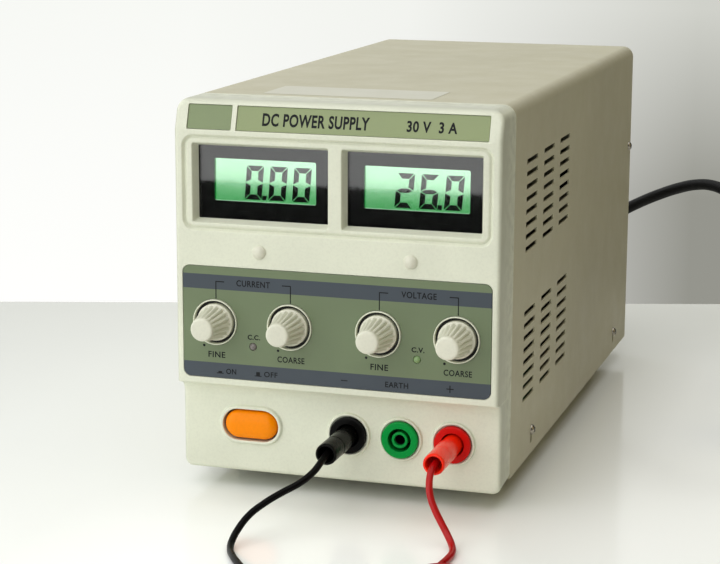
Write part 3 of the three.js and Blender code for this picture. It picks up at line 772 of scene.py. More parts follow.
def make_mains_plug():
    """A round earthed plug: ribbed boot, grip waist, flat sides with earth contacts, and two round pins."""
    x, y = MAINS_PLUG
    middle = FLOOR_Z + MAINS_PLUG_RADIUS
    profile = [(0, 0), (3.6, 0), (4.2, -0.4)]
    for rib in range(6):
        along = -1.6 - 3 * rib
        radius = 4.2 + 0.36 * rib
        crest = radius + 0.5
        profile += [(radius, along), (crest, along - 0.4), (crest, along - 1.4), (radius, along - 1.8)]
    profile += [
        (6.6, -20), (10.2, -21), (12.6, -23.5), (14.2, -28), (14.9, -33), (15.1, -38), (15.8, -41),
        (17.6, -43.4), (18.3, -44.6), (MAINS_PLUG_RADIUS, -46), (MAINS_PLUG_RADIUS, -58.6), (18.2, -59.6),
        (17.4, -60), (16.2, -60), (15.9, -59.4), (0, -59.4),
    ]

    def shaped(point):
        across, along, up = point
        if along < -21:
            across = max(-17.2, min(17.2, across))
            ridge = 0.35 * max(0.0, math.sin((along + 28) * 2.1)) if -39 < along < -28 else 0.0
            size = math.hypot(across, up) or 1
            across, up = across - ridge * across / size, up - ridge * up / size
        return x + across, y + along, middle + up

    body = turned(profile, steps=72).moved(shaped)
    made = body.piece("mains_plug_body", cord_rubber, node="mains_plug", slot="black_plastic")
    pins, contacts = Skin(), Skin()
    pin = [(0, -59), (2.4, -59), (2.4, -76.6), (2.1, -78), (1.4, -78.8), (0, -79)]
    levels = (
        (-1, rectangle(-2, 2, -59.6, -46)), (0.7, rectangle(-2, 2, -59.4, -46.4)),
        (0.9, rectangle(-1.6, 1.6, -58.8, -47)),
    )
    for side, _ in SIDES:
        pins.add(turned(pin, (x + side * 9.5, y, middle), 24))
        face = middle + side * 17.6
        rings = [[(x + a, y + b, face + side * lift) for a, b in bar] for lift, bar in levels]
        contacts.loft(rings)
        contacts.cap(rings[-1])
    pins.piece("mains_plug_pins", nickel, parent=made)
    contacts.piece("mains_plug_contacts", nickel, parent=made)
    return made


# ---------------------------------------------------------------- front bezel

DISPLAY_BOX = (-64.9, 64.9, 100, 139.5)
OVERLAY_BOX = (-64.9, 64.9, 39.2, 85.6)
WINDOW_BOXES = {"left": (-60.9, -2.5, 103.1, 136.2), "right": (2.5, 60.9, 103.1, 136.2)}
BEZEL_DROP = 1.9
PLATEAU = 0.72  # depth of the flat round the windows
POCKET = 0.8  # depth of the overlay's pocket
WELL_FLOOR = 5.2  # depth at the bottom of the gap round a knob
LOWER_WALL, MIDDLE_WALL, UPPER_WALL = 9.4, 3.3, 5  # depths of the front wall's inner face
BADGE_SPAN = (-62.4, -43.9)
TITLE_SPAN = (-41.4, 62.4)
STRIP_LOW, STRIP_HIGH = 0.6, 10.6
EDGE = 1.7  # radius of the rolled outer edge
COVE = 6  # radius of the hollow under the lip
LIP_ROUND = 0.8
COVE_LEVELS = tuple(LIP - COVE + COVE * math.sin(math.radians(15 * i)) for i in range(7))
LEVELS = (*COVE_LEVELS, LIP + 0.15, LIP + 0.4, LIP + LIP_ROUND, SLOPE_FROM)
WALL_LEVELS = (39, 41, 96, 98, 138)


def front_depth(z):
    """How far back the front surface lies at that height: step, cove, lip, upright face, leaning top."""
    if z < LIP - COVE:
        return STEP
    if z <= LIP:
        rise = (z - (LIP - COVE)) / COVE
        return STEP - COVE + COVE * math.sqrt(max(0.0, 1 - rise * rise))
    if z < LIP + LIP_ROUND:
        return (STEP - COVE) * (1 - (z - LIP) / LIP_ROUND) ** 2
    return max(0.0, (z - SLOPE_FROM) * SLOPE_BACK / (HEIGHT - SLOPE_FROM))


def behind(sunk):
    """The depth that far behind the front surface, at any height."""
    return lambda z: front_depth(z) + sunk


def wall_depth(z):
    """The inner face of the front wall, with a slope between each two of its levels."""
    low_end, middle_start, middle_end, high_start, lean_start = WALL_LEVELS
    if z < middle_start:
        share = max(0.0, z - low_end) / (middle_start - low_end)
        return LOWER_WALL + (MIDDLE_WALL - LOWER_WALL) * share
    if z < high_start:
        share = max(0.0, z - middle_end) / (high_start - middle_end)
        return MIDDLE_WALL + (UPPER_WALL - MIDDLE_WALL) * share
    return UPPER_WALL + max(0.0, z - lean_start) * 0.32


def strip_shape(span):
    """Gives the outline of a strip on the leaning top, grown by any distance."""
    lean = math.cos(SLOPE_ANGLE)

    def outline(grown):
        low = SLOPE_FROM + (STRIP_LOW - grown) * lean
        high = SLOPE_FROM + (STRIP_HIGH + grown) * lean
        return rounded_box(span[0] - grown, span[1] + grown, low, high, 0.4, steps=3)

    return outline


def bezel_outline(inset, drop=BEZEL_DROP):
    """The bezel seen from the front; its lower edge hangs that far below the cover."""
    return rounded_box(-HALF, HALF, -drop, HEIGHT, 3.5, CORNER, inset, LEVELS, 10)


def round_holes(skin, xs, z, steps, points=48):
    """A hole of (radius, depth) steps at each x; gives back the first and last outline of each."""
    return [skin.sink(lambda radius, x=x: circle(x, z, radius, points), steps) for x in xs]


def display_surround(skin):
    """The groove and bead round the displays, and the two tapered windows."""
    groove = (
        (0, 0), (0.15, 0.06), (0.35, 0.3), (0.6, 0.8), (0.85, 1.2), (1.1, 1.38), (1.35, 1.36),
        (1.6, 1.15), (1.85, 0.9), (2.15, 0.76), (2.45, PLATEAU),
    )
    wall = ((0, PLATEAU), (0.1, 0.75), (0.3, 0.92), (0.42, 1.25), (1.5, 4.8), (1.6, 5))
    edge, plateau = skin.sink(drawn_in(DISPLAY_BOX, 5, 0.35), groove)
    windows = [skin.sink(drawn_in(box, 1.3, 0.35), wall) for box in WINDOW_BOXES.values()]
    mouths, throats = zip(*windows)
    skin.region(plateau, mouths, at(PLATEAU), guard=0.3)
    return [edge], throats


def overlay_pocket(skin):
    """The shallow pocket for the overlay, with a collar and a well for each knob, and the lamps' holes."""
    steps = ((-0.3, 0), (-0.24, 0.12), (-0.2, 0.3), (-0.2, POCKET))
    edge, floor = skin.sink(drawn_in(OVERLAY_BOX, 3.2), steps)
    collar = (
        (9.5, POCKET), (9.5, -0.4), (9.46, -0.62), (9.34, -0.76), (9.22, -0.8), (9.08, -0.76),
        (8.98, -0.6), (8.95, -0.2), (8.9, 4.9), (8.7, WELL_FLOOR), (5.05, WELL_FLOOR), (5.05, 7),
        (10.6, 7), (10.6, MIDDLE_WALL),
    )
    holes = round_holes(skin, KNOB_XS, KNOB_Z, collar, 64)
    holes += round_holes(skin, LED_XS, LED_Z, ((1.65, POCKET), (1.65, MIDDLE_WALL)), 24)
    fronts, backs = zip(*holes)
    skin.region(floor, fronts, at(POCKET))
    return [edge], backs


def strip_pockets(skin):
    """The two pockets on the leaning top for the title and badge strips."""
    edges = []
    for span in (BADGE_SPAN, TITLE_SPAN):
        steps = ((0.28, behind(0)), (0.2, behind(0.12)), (0.2, behind(1.2)))
        edge, floor = skin.sink(strip_shape(span), steps)
        skin.region(floor, [], at(behind(1.2)))
        edges.append(edge)
    return edges, []


def lower_controls(skin):
    """The collars of the push button and of the three sockets on the lower face."""
    reach, height = BUTTON_HALF
    steps = (
        (2.2, STEP), (2.05, 6.5), (1.75, 5.85), (1.5, 5.5), (1.2, 5.4), (0.75, 5.42), (0.48, 5.6),
        (0.4, 5.95), (0.4, 13), (2.4, 13), (2.4, LOWER_WALL),
    )
    collar = (
        (9.25, STEP), (9.15, 6.5), (8.95, 5.75), (8.8, 5.48), (8.55, 5.4), (8.25, 5.42), (8.05, 5.6),
        (8, 5.9), (8, STEP), (6.3, STEP), (6.3, LOWER_WALL),
    )
    button = skin.sink(lambda grown: pill(BUTTON, reach + grown, height + grown), steps)
    return zip(button, *round_holes(skin, SOCKET_XS, SOCKET_Z, collar))


def blank_holes(skin):
    """The two holes that the blanking plugs fill."""
    steps = ((2.3, 0), (2.3, MIDDLE_WALL))
    return zip(*round_holes(skin, (-BLANK_X, BLANK_X), BLANK_Z, steps, 24))


def make_bezel():
    """The moulded front as one closed shell: face, rolled edge, skirt and inner wall."""
    skin = Skin()
    # Each part gives back the outlines of its holes in the face and of those in the inner wall.
    front_holes, back_holes = [], []
    for part in (display_surround, overlay_pocket, strip_pockets, lower_controls, blank_holes):
        fronts, backs = part(skin)
        front_holes += fronts
        back_holes += backs

    rings = []
    for degrees in range(0, 91, 15):
        angle = math.radians(degrees)
        outline = bezel_outline(EDGE * (1 - math.sin(angle)))
        rings.append(ring_at(outline, behind(EDGE * (1 - math.cos(angle)))))
    rim = bezel_outline(0.3, 0.4)
    skin.loft([*rings, ring_at(bezel_outline(0, 0.4), BEZEL_BACK - 0.3), ring_at(rim, BEZEL_BACK)])
    across = HALF - 2.5
    inner = rounded_box(-across, across, 2.5, HEIGHT - 2.5, 2, 5.5, 0, WALL_LEVELS, 10)

    def lines(levels):
        return [((-HALF - 5, level), (HALF + 5, level)) for level in levels]

    skin.region(bezel_outline(EDGE), front_holes, at(front_depth), lines(LEVELS), 0.3)
    skin.region(rim, [inner], at(BEZEL_BACK))
    skin.loft([ring_at(inner, BEZEL_BACK), ring_at(inner, wall_depth)])
    skin.region(inner, back_holes, at(wall_depth), lines(WALL_LEVELS))
    skin.piece("bezel_shell", bezel_plastic, node="front_bezel", slot="cream_plastic", sharp=40)


# ---------------------------------------------------------------- painted cover

SLOT_LENGTH, SLOT_HEIGHT = 20.7, 2.15
SLOT_ROWS, ROW_PITCH = 8, 5.2
SLOT_COLUMNS, FIRST_COLUMN, COLUMN_PITCH = 3, 54.7, 32.8
SLOT_TOPS = (127.8, 64.3)
SCREW_HOLES = ((62.5, 10.5, 4.2), (254, 10.5, 4.2), (284, 102.7, 0))  # y, z, length of the keyhole's tail
BEND_STEPS = 10
COVER_FRONT = BEZEL_BACK + 0.3
SIDE_RISE = HEIGHT - CORNER
BEND_LENGTH = CORNER * math.pi / 2
COVER_GIRTH = 2 * SIDE_RISE + 2 * BEND_LENGTH + 2 * (HALF - CORNER)


def cover_point(u, y, sunk):
    """A point of the cover, u along its folded sheet from the right lower edge over the top."""
    side = 1
    if u > COVER_GIRTH / 2:
        side, u = -1, COVER_GIRTH - u
    if u <= SIDE_RISE:
        return (side * (HALF - sunk), y, u)
    if u <= SIDE_RISE + BEND_LENGTH:
        angle = (u - SIDE_RISE) / CORNER
        reach = CORNER - sunk
        return (side * (HALF - CORNER + reach * math.cos(angle)), y, SIDE_RISE + reach * math.sin(angle))
    return (side * (HALF - CORNER - (u - SIDE_RISE - BEND_LENGTH)), y, HEIGHT - sunk)


def cover_folds():
    first = [SIDE_RISE + BEND_LENGTH * i / BEND_STEPS for i in range(BEND_STEPS + 1)]
    return first + [COVER_GIRTH - u for u in reversed(first)]


def cover_outline(inset):
    u0, u1 = inset, COVER_GIRTH - inset
    y0, y1 = COVER_FRONT + inset, BACK - inset
    along = [u0, *cover_folds(), u1]
    return [(u, y0) for u in along] + [(u, y1) for u in reversed(along)]


def slot_outline(u, y, grown):
    reach, height = SLOT_LENGTH / 2 + grown, SLOT_HEIGHT / 2 + grown
    return rounded_box(u - height, u + height, y - reach, y + reach, 0.45 + grown, steps=3)


def keyhole(u, y, tail, down, grown):
    """A screw hole in the sheet, drawn out downwards by its tail."""
    radius = 1.7 + grown
    head = arc(u, y, radius, 90 * down, 90 * down + 180, 8)
    return head + arc(u + down * tail, y, radius, -90 * down, 180 - 90 * down, 8)


def cover_holes(grown):
    holes = []
    for side in (1, -1):

        def along(z, side=side):
            return z if side > 0 else COVER_GIRTH - z

        for top in SLOT_TOPS:
            for line in range(SLOT_ROWS):
                for column in range(SLOT_COLUMNS):
                    u, y = along(top - line * ROW_PITCH), FIRST_COLUMN + column * COLUMN_PITCH
                    holes.append(slot_outline(u, y, grown))
        holes += [keyhole(along(z), y, tail, -side, grown) for y, z, tail in SCREW_HOLES]
    return holes


def make_cover():
    lip, crisp = 0.3, 0.12
    outer, inner = cover_holes(crisp), cover_holes(0)
    flat_top = SIDE_RISE + BEND_LENGTH + 1

    def lengthwise(*places):
        return [((u, COVER_FRONT - 5), (u, BACK + 5)) for u in places]

    lines = lengthwise(
        *cover_folds(), SIDE_RISE - 1, COVER_GIRTH - SIDE_RISE + 1, flat_top, COVER_GIRTH - flat_top
    )
    lines += [((-5, y), (COVER_GIRTH + 5, y)) for y in (COVER_FRONT + 1, BACK - 1)]
    lines += lengthwise(1, COVER_GIRTH - 1)
    skin = Skin()
    skin.region(cover_outline(lip), outer, lambda u, y: cover_point(u, y, 0), lines, 0.25)
    skin.region(cover_outline(0), inner, lambda u, y: cover_point(u, y, SHEET), lines)
    edge = [(cover_outline(i), sunk) for i, sunk in ((lip, 0), (lip * 0.3, lip * 0.3), (0, lip), (0, SHEET))]
    for steps in (edge, *(((a, 0), (b, crisp), (b, SHEET)) for a, b in zip(outer, inner))):
        skin.loft([[cover_point(u, y, sunk) for u, y in outline] for outline, sunk in steps])
    skin.piece("cover_sheet", cover_paint, node="top_cover", slot="cover_paint")


def make_label():
    """A blank paper label stuck on the top, near the front."""
    shape = drawn_in((-40, 32, 28, 57), 1.2)
    steps = ((0, 0.02), (0, 0.1), (0.15, 0.13))
    rings = [[(x, y, HEIGHT + up) for x, y in shape(inset)] for inset, up in steps]
    skin = Skin()
    skin.loft(rings)
    skin.cap(rings[-1])
    skin.piece("top_label", label_paper)


def make_screws():
    """Pan heads, three on each side of the cover, with the cross recess drawn as a black cross of painted
    shade.
    """
    shape = [
        (0, 1.55), (0.7, 1.52), (1.3, 1.36), (1.8, 1.05), (2.12, 0.66), (2.25, 0.3), (2.28, 0.03),
        (1.5, -0.05), (1.5, -7.6), (0, -8),
    ]
    bar = [(0, -0.22), (1.15, -0.18), (1.15, 0.18), (0, 0.22)]
    for side, word in SIDES:

        def on_side(point, side=side):
            return (side * (HALF + point[0]), *point[1:])

        for number, (y, z, _) in enumerate(SCREW_HOLES, 1):
            name = f"screw_{word}_{number}"
            head = turned(shape, (0, y, z), 32, "x").moved(on_side)
            made = head.piece(name, plain_steel, node=f"cover_{name}", slot="plain_steel")
            # Painted shade: black bars standing for the dark cross recess.
            recess = Skin()
            for quarter in range(4):
                angle = math.radians(20 + 25 * number + 90 * quarter)
                cos, sin = math.cos(angle), math.sin(angle)
                ring = [(y + p * cos - q * sin, z + p * sin + q * cos) for p, q in bar]
                recess.solid([[(x, *point) for point in ring] for x in (1.2, 1.58)])
            recess.moved(on_side).piece(f"{name}_recess", black_plastic, parent=made)


# ---------------------------------------------------------------- films and printing

FILM_THICK = 0.5
INK = 0.04  # how far the print stands off its film


def make_overlay():
    skin = Skin()
    edge = ((0.12, 0), (0.03, 0.04), (0, 0.14), (0, FILM_THICK))
    front, back = skin.sink(drawn_in(OVERLAY_BOX, 3), edge)
    holes = round_holes(skin, KNOB_XS, KNOB_Z, ((9.72, 0), (9.66, 0.06), (9.66, FILM_THICK)), 64)
    holes += round_holes(skin, LED_XS, LED_Z, ((1.65, 0), (1.62, 0.05), (1.62, FILM_THICK)), 24)
    fronts, backs = zip(*holes)
    skin.region(front, fronts, at(0), guard=0.2)
    skin.region(back, backs, at(FILM_THICK))
    skin.piece("overlay_film", green_film, node="control_overlay", slot="green_film")


def make_strip(name, span, material, node, slot):
    skin = Skin()
    steps = ((-0.12, behind(0.4)), (-0.03, behind(0.44)), (0, behind(0.54)), (0, behind(0.9)))
    skin.block(strip_shape(span), steps)
    skin.piece(name, material, node=node, slot=slot)


def on_face(x, lift, z):
    return (x, -lift, z)


def on_slope(x, lift, z):
    rise = SLOPE_FROM + z * math.cos(SLOPE_ANGLE)
    return (x, front_depth(rise) + 0.4 - lift, rise)


def add_word(skin, text, x, z, width, height, weight=0.018, place=on_face):
    """A word in the built-in face, printed as a thin closed mesh centred on x with its foot at z."""
    curve = bpy.data.curves.new("letters", "FONT")
    curve.body = text
    curve.space_character = 1.08
    curve.resolution_u = 4
    curve.extrude = 0.5
    curve.offset = weight
    source = bpy.data.objects.new("letters", curve)
    mesh = bpy.data.meshes.new_from_object(source)
    bpy.data.objects.remove(source)
    bpy.data.curves.remove(curve)
    xs, ys, _ = zip(*(vertex.co for vertex in mesh.vertices))
    left, across, foot, up = min(xs), max(xs) - min(xs), min(ys), max(ys) - min(ys)
    word = Skin()
    for vertex in mesh.vertices:
        a = (vertex.co.x - left) / across * width - width / 2
        b = (vertex.co.y - foot) / up * height
        word.points.append(place(x + a, INK if vertex.co.z > 0 else -INK, z + b))
    word.faces = [tuple(face.vertices) for face in mesh.polygons]
    bpy.data.meshes.remove(mesh)
    skin.add(word)


def add_shape(skin, outline):
    """A printed patch inside an outline of (x, z)."""
    skin.solid([ring_at(outline, -lift) for lift in (INK, -INK)])


def add_bar(skin, x0, x1, z0, z1):
    add_shape(skin, rectangle(x0, x1, z0, z1))


def make_overlay_print():
    """Plain function words, a bracket over each pair of knobs, and the marks above the sockets."""
    skin = Skin()
    half = 0.21  # of a line's width
    top, tick = 79.5, 3.6
    for first, second, text in ((*KNOB_XS[:2], "CURRENT"), (*KNOB_XS[2:], "VOLTAGE")):
        for x, way in ((first + 0.5, 1), (second + 0.5, -1)):
            add_bar(skin, x - half, x + half, KNOB_Z + 9.9, top + half)
            ends = sorted((x + way * half, x + way * tick))
            add_bar(skin, *ends, top - half, top + half)
        add_word(skin, text, (first + second) / 2 + 0.6, top - 1.45, 14.5, 2.6)
    for x, text, width in zip(KNOB_XS, ("FINE", "COARSE") * 2, (7.4, 11.6) * 2):
        add_word(skin, text, x + 0.6, 47.7, width, 2.5)
        add_shape(skin, circle(x - 4.9, KNOB_Z - 10, 0.55, 16))
    add_word(skin, "C.C.", -34.2, 56.2, 5.4, 2.1, 0.03)
    add_word(skin, "C.V.", 35.1, 56.2, 5.4, 2.1, 0.03)
    base = 41
    for x, raised, text, width in ((-49, 0.7, "ON", 4.4), (-32.5, 1.5, "OFF", 5.8)):
        add_bar(skin, x - 1.5, x + 1.5, base, base + 0.35)
        add_bar(skin, x - 0.8, x + 0.8, base + 0.35, base + 0.35 + raised)
        add_word(skin, text, x + 2.6 + width / 2, base, width, 2.3)
    minus, earth, plus = SOCKET_XS
    add_bar(skin, minus - 1.4, minus + 1.4, 42.1, 42.5)
    add_word(skin, "EARTH", earth, base, 9.6, 2.3)
    add_bar(skin, plus - 1.5, plus + 1.5, 42.1, 42.5)
    add_bar(skin, plus - 0.2, plus + 0.2, 40.8, 43.8)
    skin.piece("overlay_print", print_ink, flat=False)


def make_title_print():
    skin = Skin()
    add_word(skin, "DC POWER SUPPLY", -8.3, 2.8, 44.6, 5.3, 0.03, on_slope)
    add_word(skin, "30 V  3 A", 39.4, 3, 20.4, 4.5, 0.03, on_slope)
    skin.piece("title_print", print_ink, flat=False)


# ---------------------------------------------------------------- displays

LENS_BOXES = {"left": (-60.6, -2.8, 103.6, 136), "right": (2.8, 60.6, 103.6, 136)}
LCD_BOXES = {"left": (-53.2, -9.7, 111.8, 129.2), "right": (10.4, 53.9, 111.8, 129.1)}
MODULE_BOXES = {"left": (-58.4, -4.9, 105.7, 134.1), "right": (4.9, 58.4, 105.7, 134.1)}
MODULE_FRONT = 7.1
PANEL_FRONT = MODULE_FRONT + 1.3
# Which of its seven bars a digit lights: top, upper right, lower right, bottom, lower left, upper left
# and middle.
DIGITS = {"0": "1111110", "2": "1101101", "6": "1011111"}
READINGS = {"left": ("0.00", 2.1), "right": ("26.0", 2.5)}
DIGIT_WIDTH, DIGIT_HEIGHT, BAR_THICK = 7.3, 13.9, 2.15
DIGIT_PITCH = 10.15
SLANT = 0.085


def make_lens(word):
    skin = Skin()
    steps = ((0.4, 5.3), (0.1, 5.38), (0, 5.6), (0, 6.6), (0.2, 6.8))
    skin.block(drawn_in(LENS_BOXES[word], 0.5), steps)
    skin.piece(f"lens_{word}", lens_acrylic, node=f"display_window_{word}", slot="lens")


def make_module(word):
    """The black frame of the display, its lit panel a little way down, and the digits just above that."""
    front, shoulder = MODULE_FRONT, MODULE_FRONT + 0.8
    lens, opening = drawn_in(LENS_BOXES[word], 0.8), LCD_BOXES[word]
    mouth, case = drawn_in(opening, 0.8)(0), drawn_in(MODULE_BOXES[word], 0.8)(0)
    rims = (
        (lens(0.3), front), (lens(0.1), front + 0.2), (lens(0.1), shoulder), (case, shoulder), (case, 13.1),
    )
    rings = [ring_at(outline, depth) for outline, depth in rims]
    floor = ring_at(mouth, PANEL_FRONT + 0.3)
    skin = Skin()
    skin.loft(rings)
    skin.cap(rings[-1])
    skin.region(lens(0.3), [mouth], at(front))
    skin.loft([ring_at(mouth, front), floor])
    skin.cap(floor)
    made = skin.piece(f"lcd_frame_{word}", frame_black, node=f"lcd_module_{word}")
    for name, depths, material in (
        ("lcd_panel", (PANEL_FRONT, PANEL_FRONT + 0.25), lcd_green),
        ("lcd_glass", (front + 0.3, front + 1), display_glass),
    ):
        sheet = Skin()
        sheet.block(drawn_in(opening, 0.7), [(0.06, depth) for depth in depths])
        sheet.piece(f"{name}_{word}", material, slot="lcd", parent=made)
    make_digits(word, made)


def digit_bars():
    """The seven bars of a digit as outlines with mitred ends, in the order of DIGITS."""
    width, height, thick = DIGIT_WIDTH, DIGIT_HEIGHT, BAR_THICK
    half = height / 2
    cut = 0.18
    outer, inner = cut + 0.2, thick + cut * 0.6
    at_corner, at_middle = (cut * 1.4, thick + cut), (cut * 1.4, thick / 2 + cut)

    def lying(edge, root):
        return [(outer, edge), (width - outer, edge), (width - inner, root), (inner, root)]

    def standing(x, way, low, high, mitre_low, mitre_high):
        root = x + way * thick
        return [
            (x, low + mitre_low[0]), (x, high - mitre_high[0]),
            (root, high - mitre_high[1]), (root, low + mitre_low[1]),
        ]

    tip, slope, reach = 0.45, thick - 0.1, 0.85
    middle = [
        (tip, half), (slope, half + reach), (width - slope, half + reach), (width - tip, half),
        (width - slope, half - reach), (slope, half - reach),
    ]
    return [
        lying(height, height - thick),
        standing(width, -1, half, height, at_middle, at_corner),
        standing(width, -1, 0, half, at_corner, at_middle),
        lying(0, thick),
        standing(0, 1, 0, half, at_corner, at_middle),
        standing(0, 1, half, height, at_middle, at_corner),
        middle,
    ]


def make_digits(word, module):
    """A reading in slanted seven-bar digits, standing at the right of its display."""
    text, margin = READINGS[word]
    _, right, low, _ = LCD_BOXES[word]
    foot = low + 0.9
    x = right - margin - DIGIT_WIDTH - DIGIT_HEIGHT * SLANT
    dot = rectangle(DIGIT_PITCH - 2.6, DIGIT_PITCH - 0.8, 0, 1.9)
    skin = Skin()
    for mark in reversed(text):
        bars = [dot] if mark == "." else [bar for bar, on in zip(digit_bars(), DIGITS[mark]) if on == "1"]
        for bar in bars:
            ring = [(x + a + b * SLANT, foot + b) for a, b in bar]
            skin.solid([ring_at(ring, PANEL_FRONT - lift) for lift in (0.02, 0.12)])
        x -= 0 if mark == "." else DIGIT_PITCH
    skin.piece(f"lcd_digits_{word}", digit_black, flat=False, parent=module)


# ---------------------------------------------------------------- controls

FLUTES = 18
FLUTE_STEPS = 10


def knob_skin(x):
    """A fluted knob: smooth skirt, tapering flutes, rounded rim and flat face."""
    # radius of the crests, depth of the flutes, distance along y
    profile = [
        (0, 0, -11.5), (3.3, 0, -11.5), (3.3, 0, 4.1), (3.5, 0, 4.4), (7.5, 0, 4.4), (7.7, 0, 4.1),
        (7.7, 0, -0.3), (7.62, 0, -0.7), (7.45, 0, -0.95), (7.22, 0.03, -1.1), (7.08, 0.5, -1.4),
        (6.98, 0.82, -2), (6.76, 0.94, -3.2), (6.38, 0.92, -5.4), (5.98, 0.84, -7.7), (5.58, 0.72, -10),
        (5.22, 0.54, -12.1), (4.98, 0.34, -13.3), (4.84, 0.1, -14.1), (4.76, 0, -14.6), (4.68, 0, -15.05),
        (4.48, 0, -15.4), (4.15, 0, -15.6), (3.6, 0, -15.68), (2, 0, -15.7), (0, 0, -15.7),
    ]
    steps = FLUTE_STEPS * FLUTES
    rings = []
    for radius, depth, y in profile:
        ring = []
        for i in range(steps if radius else 1):
            angle = 2 * math.pi * i / steps
            wave = 0.5 + 0.5 * math.cos(FLUTES * angle)
            r = radius - depth * (1 - wave**0.55)
            ring.append((x + r * math.cos(angle), y, KNOB_Z + r * math.sin(angle)))
        rings.append(ring)
    skin = Skin()
    skin.loft(rings)
    return skin


def make_knobs():
    for x, name in zip(KNOB_XS, KNOB_NAMES):
        node = f"knob_{name}"
        knob_skin(x).piece(f"{name}_knob", knob_plastic, node, node, "knob_plastic", 50)


def make_knob_gap_shades():
    """A black ring at the bottom of the gap round each knob, as painted shade that darkens the gap."""
    gap_shade = [(7.95, 1.4), (8.85, 1.4), (8.85, 5.1), (7.95, 5.1), (7.95, 1.4)]
    for x, name in zip(KNOB_XS, KNOB_NAMES):
        turned(gap_shade, (x, 0, KNOB_Z), 56).piece(f"{name}_seal", rubber)


def make_button():
    skin = Skin()
    x, z = BUTTON
    reach, height = BUTTON_HALF
    crown = (
        (0.3, 15), (0.3, 7.4), (0.38, 6.9), (0.58, 6.4), (0.92, 5.9), (1.4, 5.45), (2.05, 5.08),
        (2.85, 4.8), (3.7, 4.62), (4.6, 4.52), (5.4, 4.5),
    )
    skin.block(lambda inset: pill(BUTTON, reach - inset, height - inset), crown)
    skin.block(drawn_in((x - 2.5, x + 2.5, z - 2.5, z + 2.5), 0.4), ((0, 15.02), (0, 27)))
    skin.piece("button_cap", orange_plastic, "power_button", "power_button", "orange_plastic")


def make_sockets():
    shape = [
        (0, 26), (2.2, 26), (2.2, 5.2), (2.3, 4.8), (2.6, 4.62), (3.1, 4.6), (3.34, 4.75), (3.4, 5.1),
        (3.4, 24), (4.8, 24), (4.8, 4.5), (4.86, 4.2), (5.05, 4.02), (5.3, 4), (7, 4), (7.35, 4.06),
        (7.55, 4.25), (7.6, 4.6), (7.6, 6.3), (6, 6.3), (6, 28), (2, 28), (2, 36), (0, 36),
    ]
    # The near-black sleeve in each bore is painted shade, where the metal contact inside lies in shade.
    bore_shade = [(0, 24.6), (2.05, 24.6), (2.05, 6.2), (2.19, 6.2), (2.19, 25.9), (0, 25.9)]
    finishes = (
        (black_plastic, "black_plastic"), (green_plastic, "green_plastic"), (red_plastic, "red_plastic"),
    )
    for name, x, (material, slot) in zip(SOCKET_NAMES, SOCKET_XS, finishes):
        centre = (x, 0, SOCKET_Z)
        made = turned(shape, centre, 56).piece(f"{name}_socket", material, node=f"socket_{name}", slot=slot)
        turned(bore_shade, centre, 32).piece(f"{name}_socket_bore_shade", bore_shade_black, parent=made)


def make_small_front_parts():
    """The indicator lamps and the blanking plugs."""
    lamp = [(0, -0.85), (0.55, -0.78), (1.05, -0.52), (1.38, -0.12), (1.5, 0.35), (1.5, 6), (0, 6)]
    for word, x, material in zip(("current", "voltage"), LED_XS, (led_red, led_green)):
        made = turned(lamp, (x, 0, LED_Z), 28)
        made.piece(f"{word}_lamp", material, node=f"{word}_led", slot="led_plastic")
    dome = [
        (0, -1.75), (0.8, -1.68), (1.6, -1.42), (2.25, -1), (2.72, -0.5), (2.93, -0.15), (2.9, -0.02),
        (2, 0), (2, 6), (0, 6),
    ]
    for side, word in SIDES:
        made = turned(dome, (side * BLANK_X, 0, BLANK_Z), 36)
        made.piece(f"blank_{word}", knob_plastic, node=f"blanking_plug_{word}", slot="knob_plastic")


# ---------------------------------------------------------------- feet and back

FOOT_YS = {"front": 45, "rear": 248}
FOOT_X = 50
PANEL_FACE = 289.8  # just off the rear panel, where the parts on it begin
REAR_COLUMN = 40
FUSE_Z = 88
CORD_Z = 48.5
SINK_X, SINK_WIDTH, SINK_BASE, SINK_BACK = -17, 78, 4.7, 312
SINK_HEIGHTS = (22, 140)
FINS, FIN = 11, 2.4


def make_feet():
    """Moulded rubber feet, each with the head of its screw down in a recess."""
    shape = [
        (0, -7), (3.6, -7), (3.8, -9.1), (4.2, -9.5), (7, -9.5), (7.9, -9.2), (8.4, -8.5), (8.5, -7.8),
        (7.8, -0.9), (7.5, -0.35), (6.8, -0.3), (0, -0.3),
    ]
    head = [(0, -8.4), (1.4, -8.3), (2.4, -7.9), (2.8, -7.3), (2.8, -7), (0, -7)]
    for end, y in FOOT_YS.items():
        for side, word in SIDES:
            name, centre = f"{end}_{word}_foot", (side * FOOT_X, y, 0)
            foot = turned(shape, centre, 40, "z")
            made = foot.piece(name, rubber, node=f"foot_{end}_{word}", slot="rubber")
            turned(head, centre, 24, "z").piece(f"{name}_screw", plain_steel, parent=made)


def make_heat_sink():
    """An extruded black sink: fins with round tips on a flat base."""
    root = PANEL_FACE + SINK_BASE
    left = SINK_X - SINK_WIDTH / 2
    pitch = (SINK_WIDTH - FIN) / (FINS - 1)
    half = FIN / 2
    fillet = ((half + 0.8, root), (half + 0.25, root + 0.25), (half, root + 0.8))
    outline = [(left, PANEL_FACE), (left + SINK_WIDTH, PANEL_FACE)]
    for i in reversed(range(FINS)):
        middle = left + half + i * pitch
        if i < FINS - 1:
            outline += [(middle + x, y) for x, y in fillet]
        outline += arc(middle, SINK_BACK - half, half, 0, 180, 6)
        if i > 0:
            outline += [(middle - x, y) for x, y in reversed(fillet)]
    skin = Skin()
    skin.loft([[(x, y, z) for x, y in outline] for z in SINK_HEIGHTS])
    for z in SINK_HEIGHTS:
        skin.region(outline, [], lambda x, y, z=z: (x, y, z))
    skin.piece("finned_sink", black_aluminium, node="heat_sink", slot="black_aluminium", sharp=30)


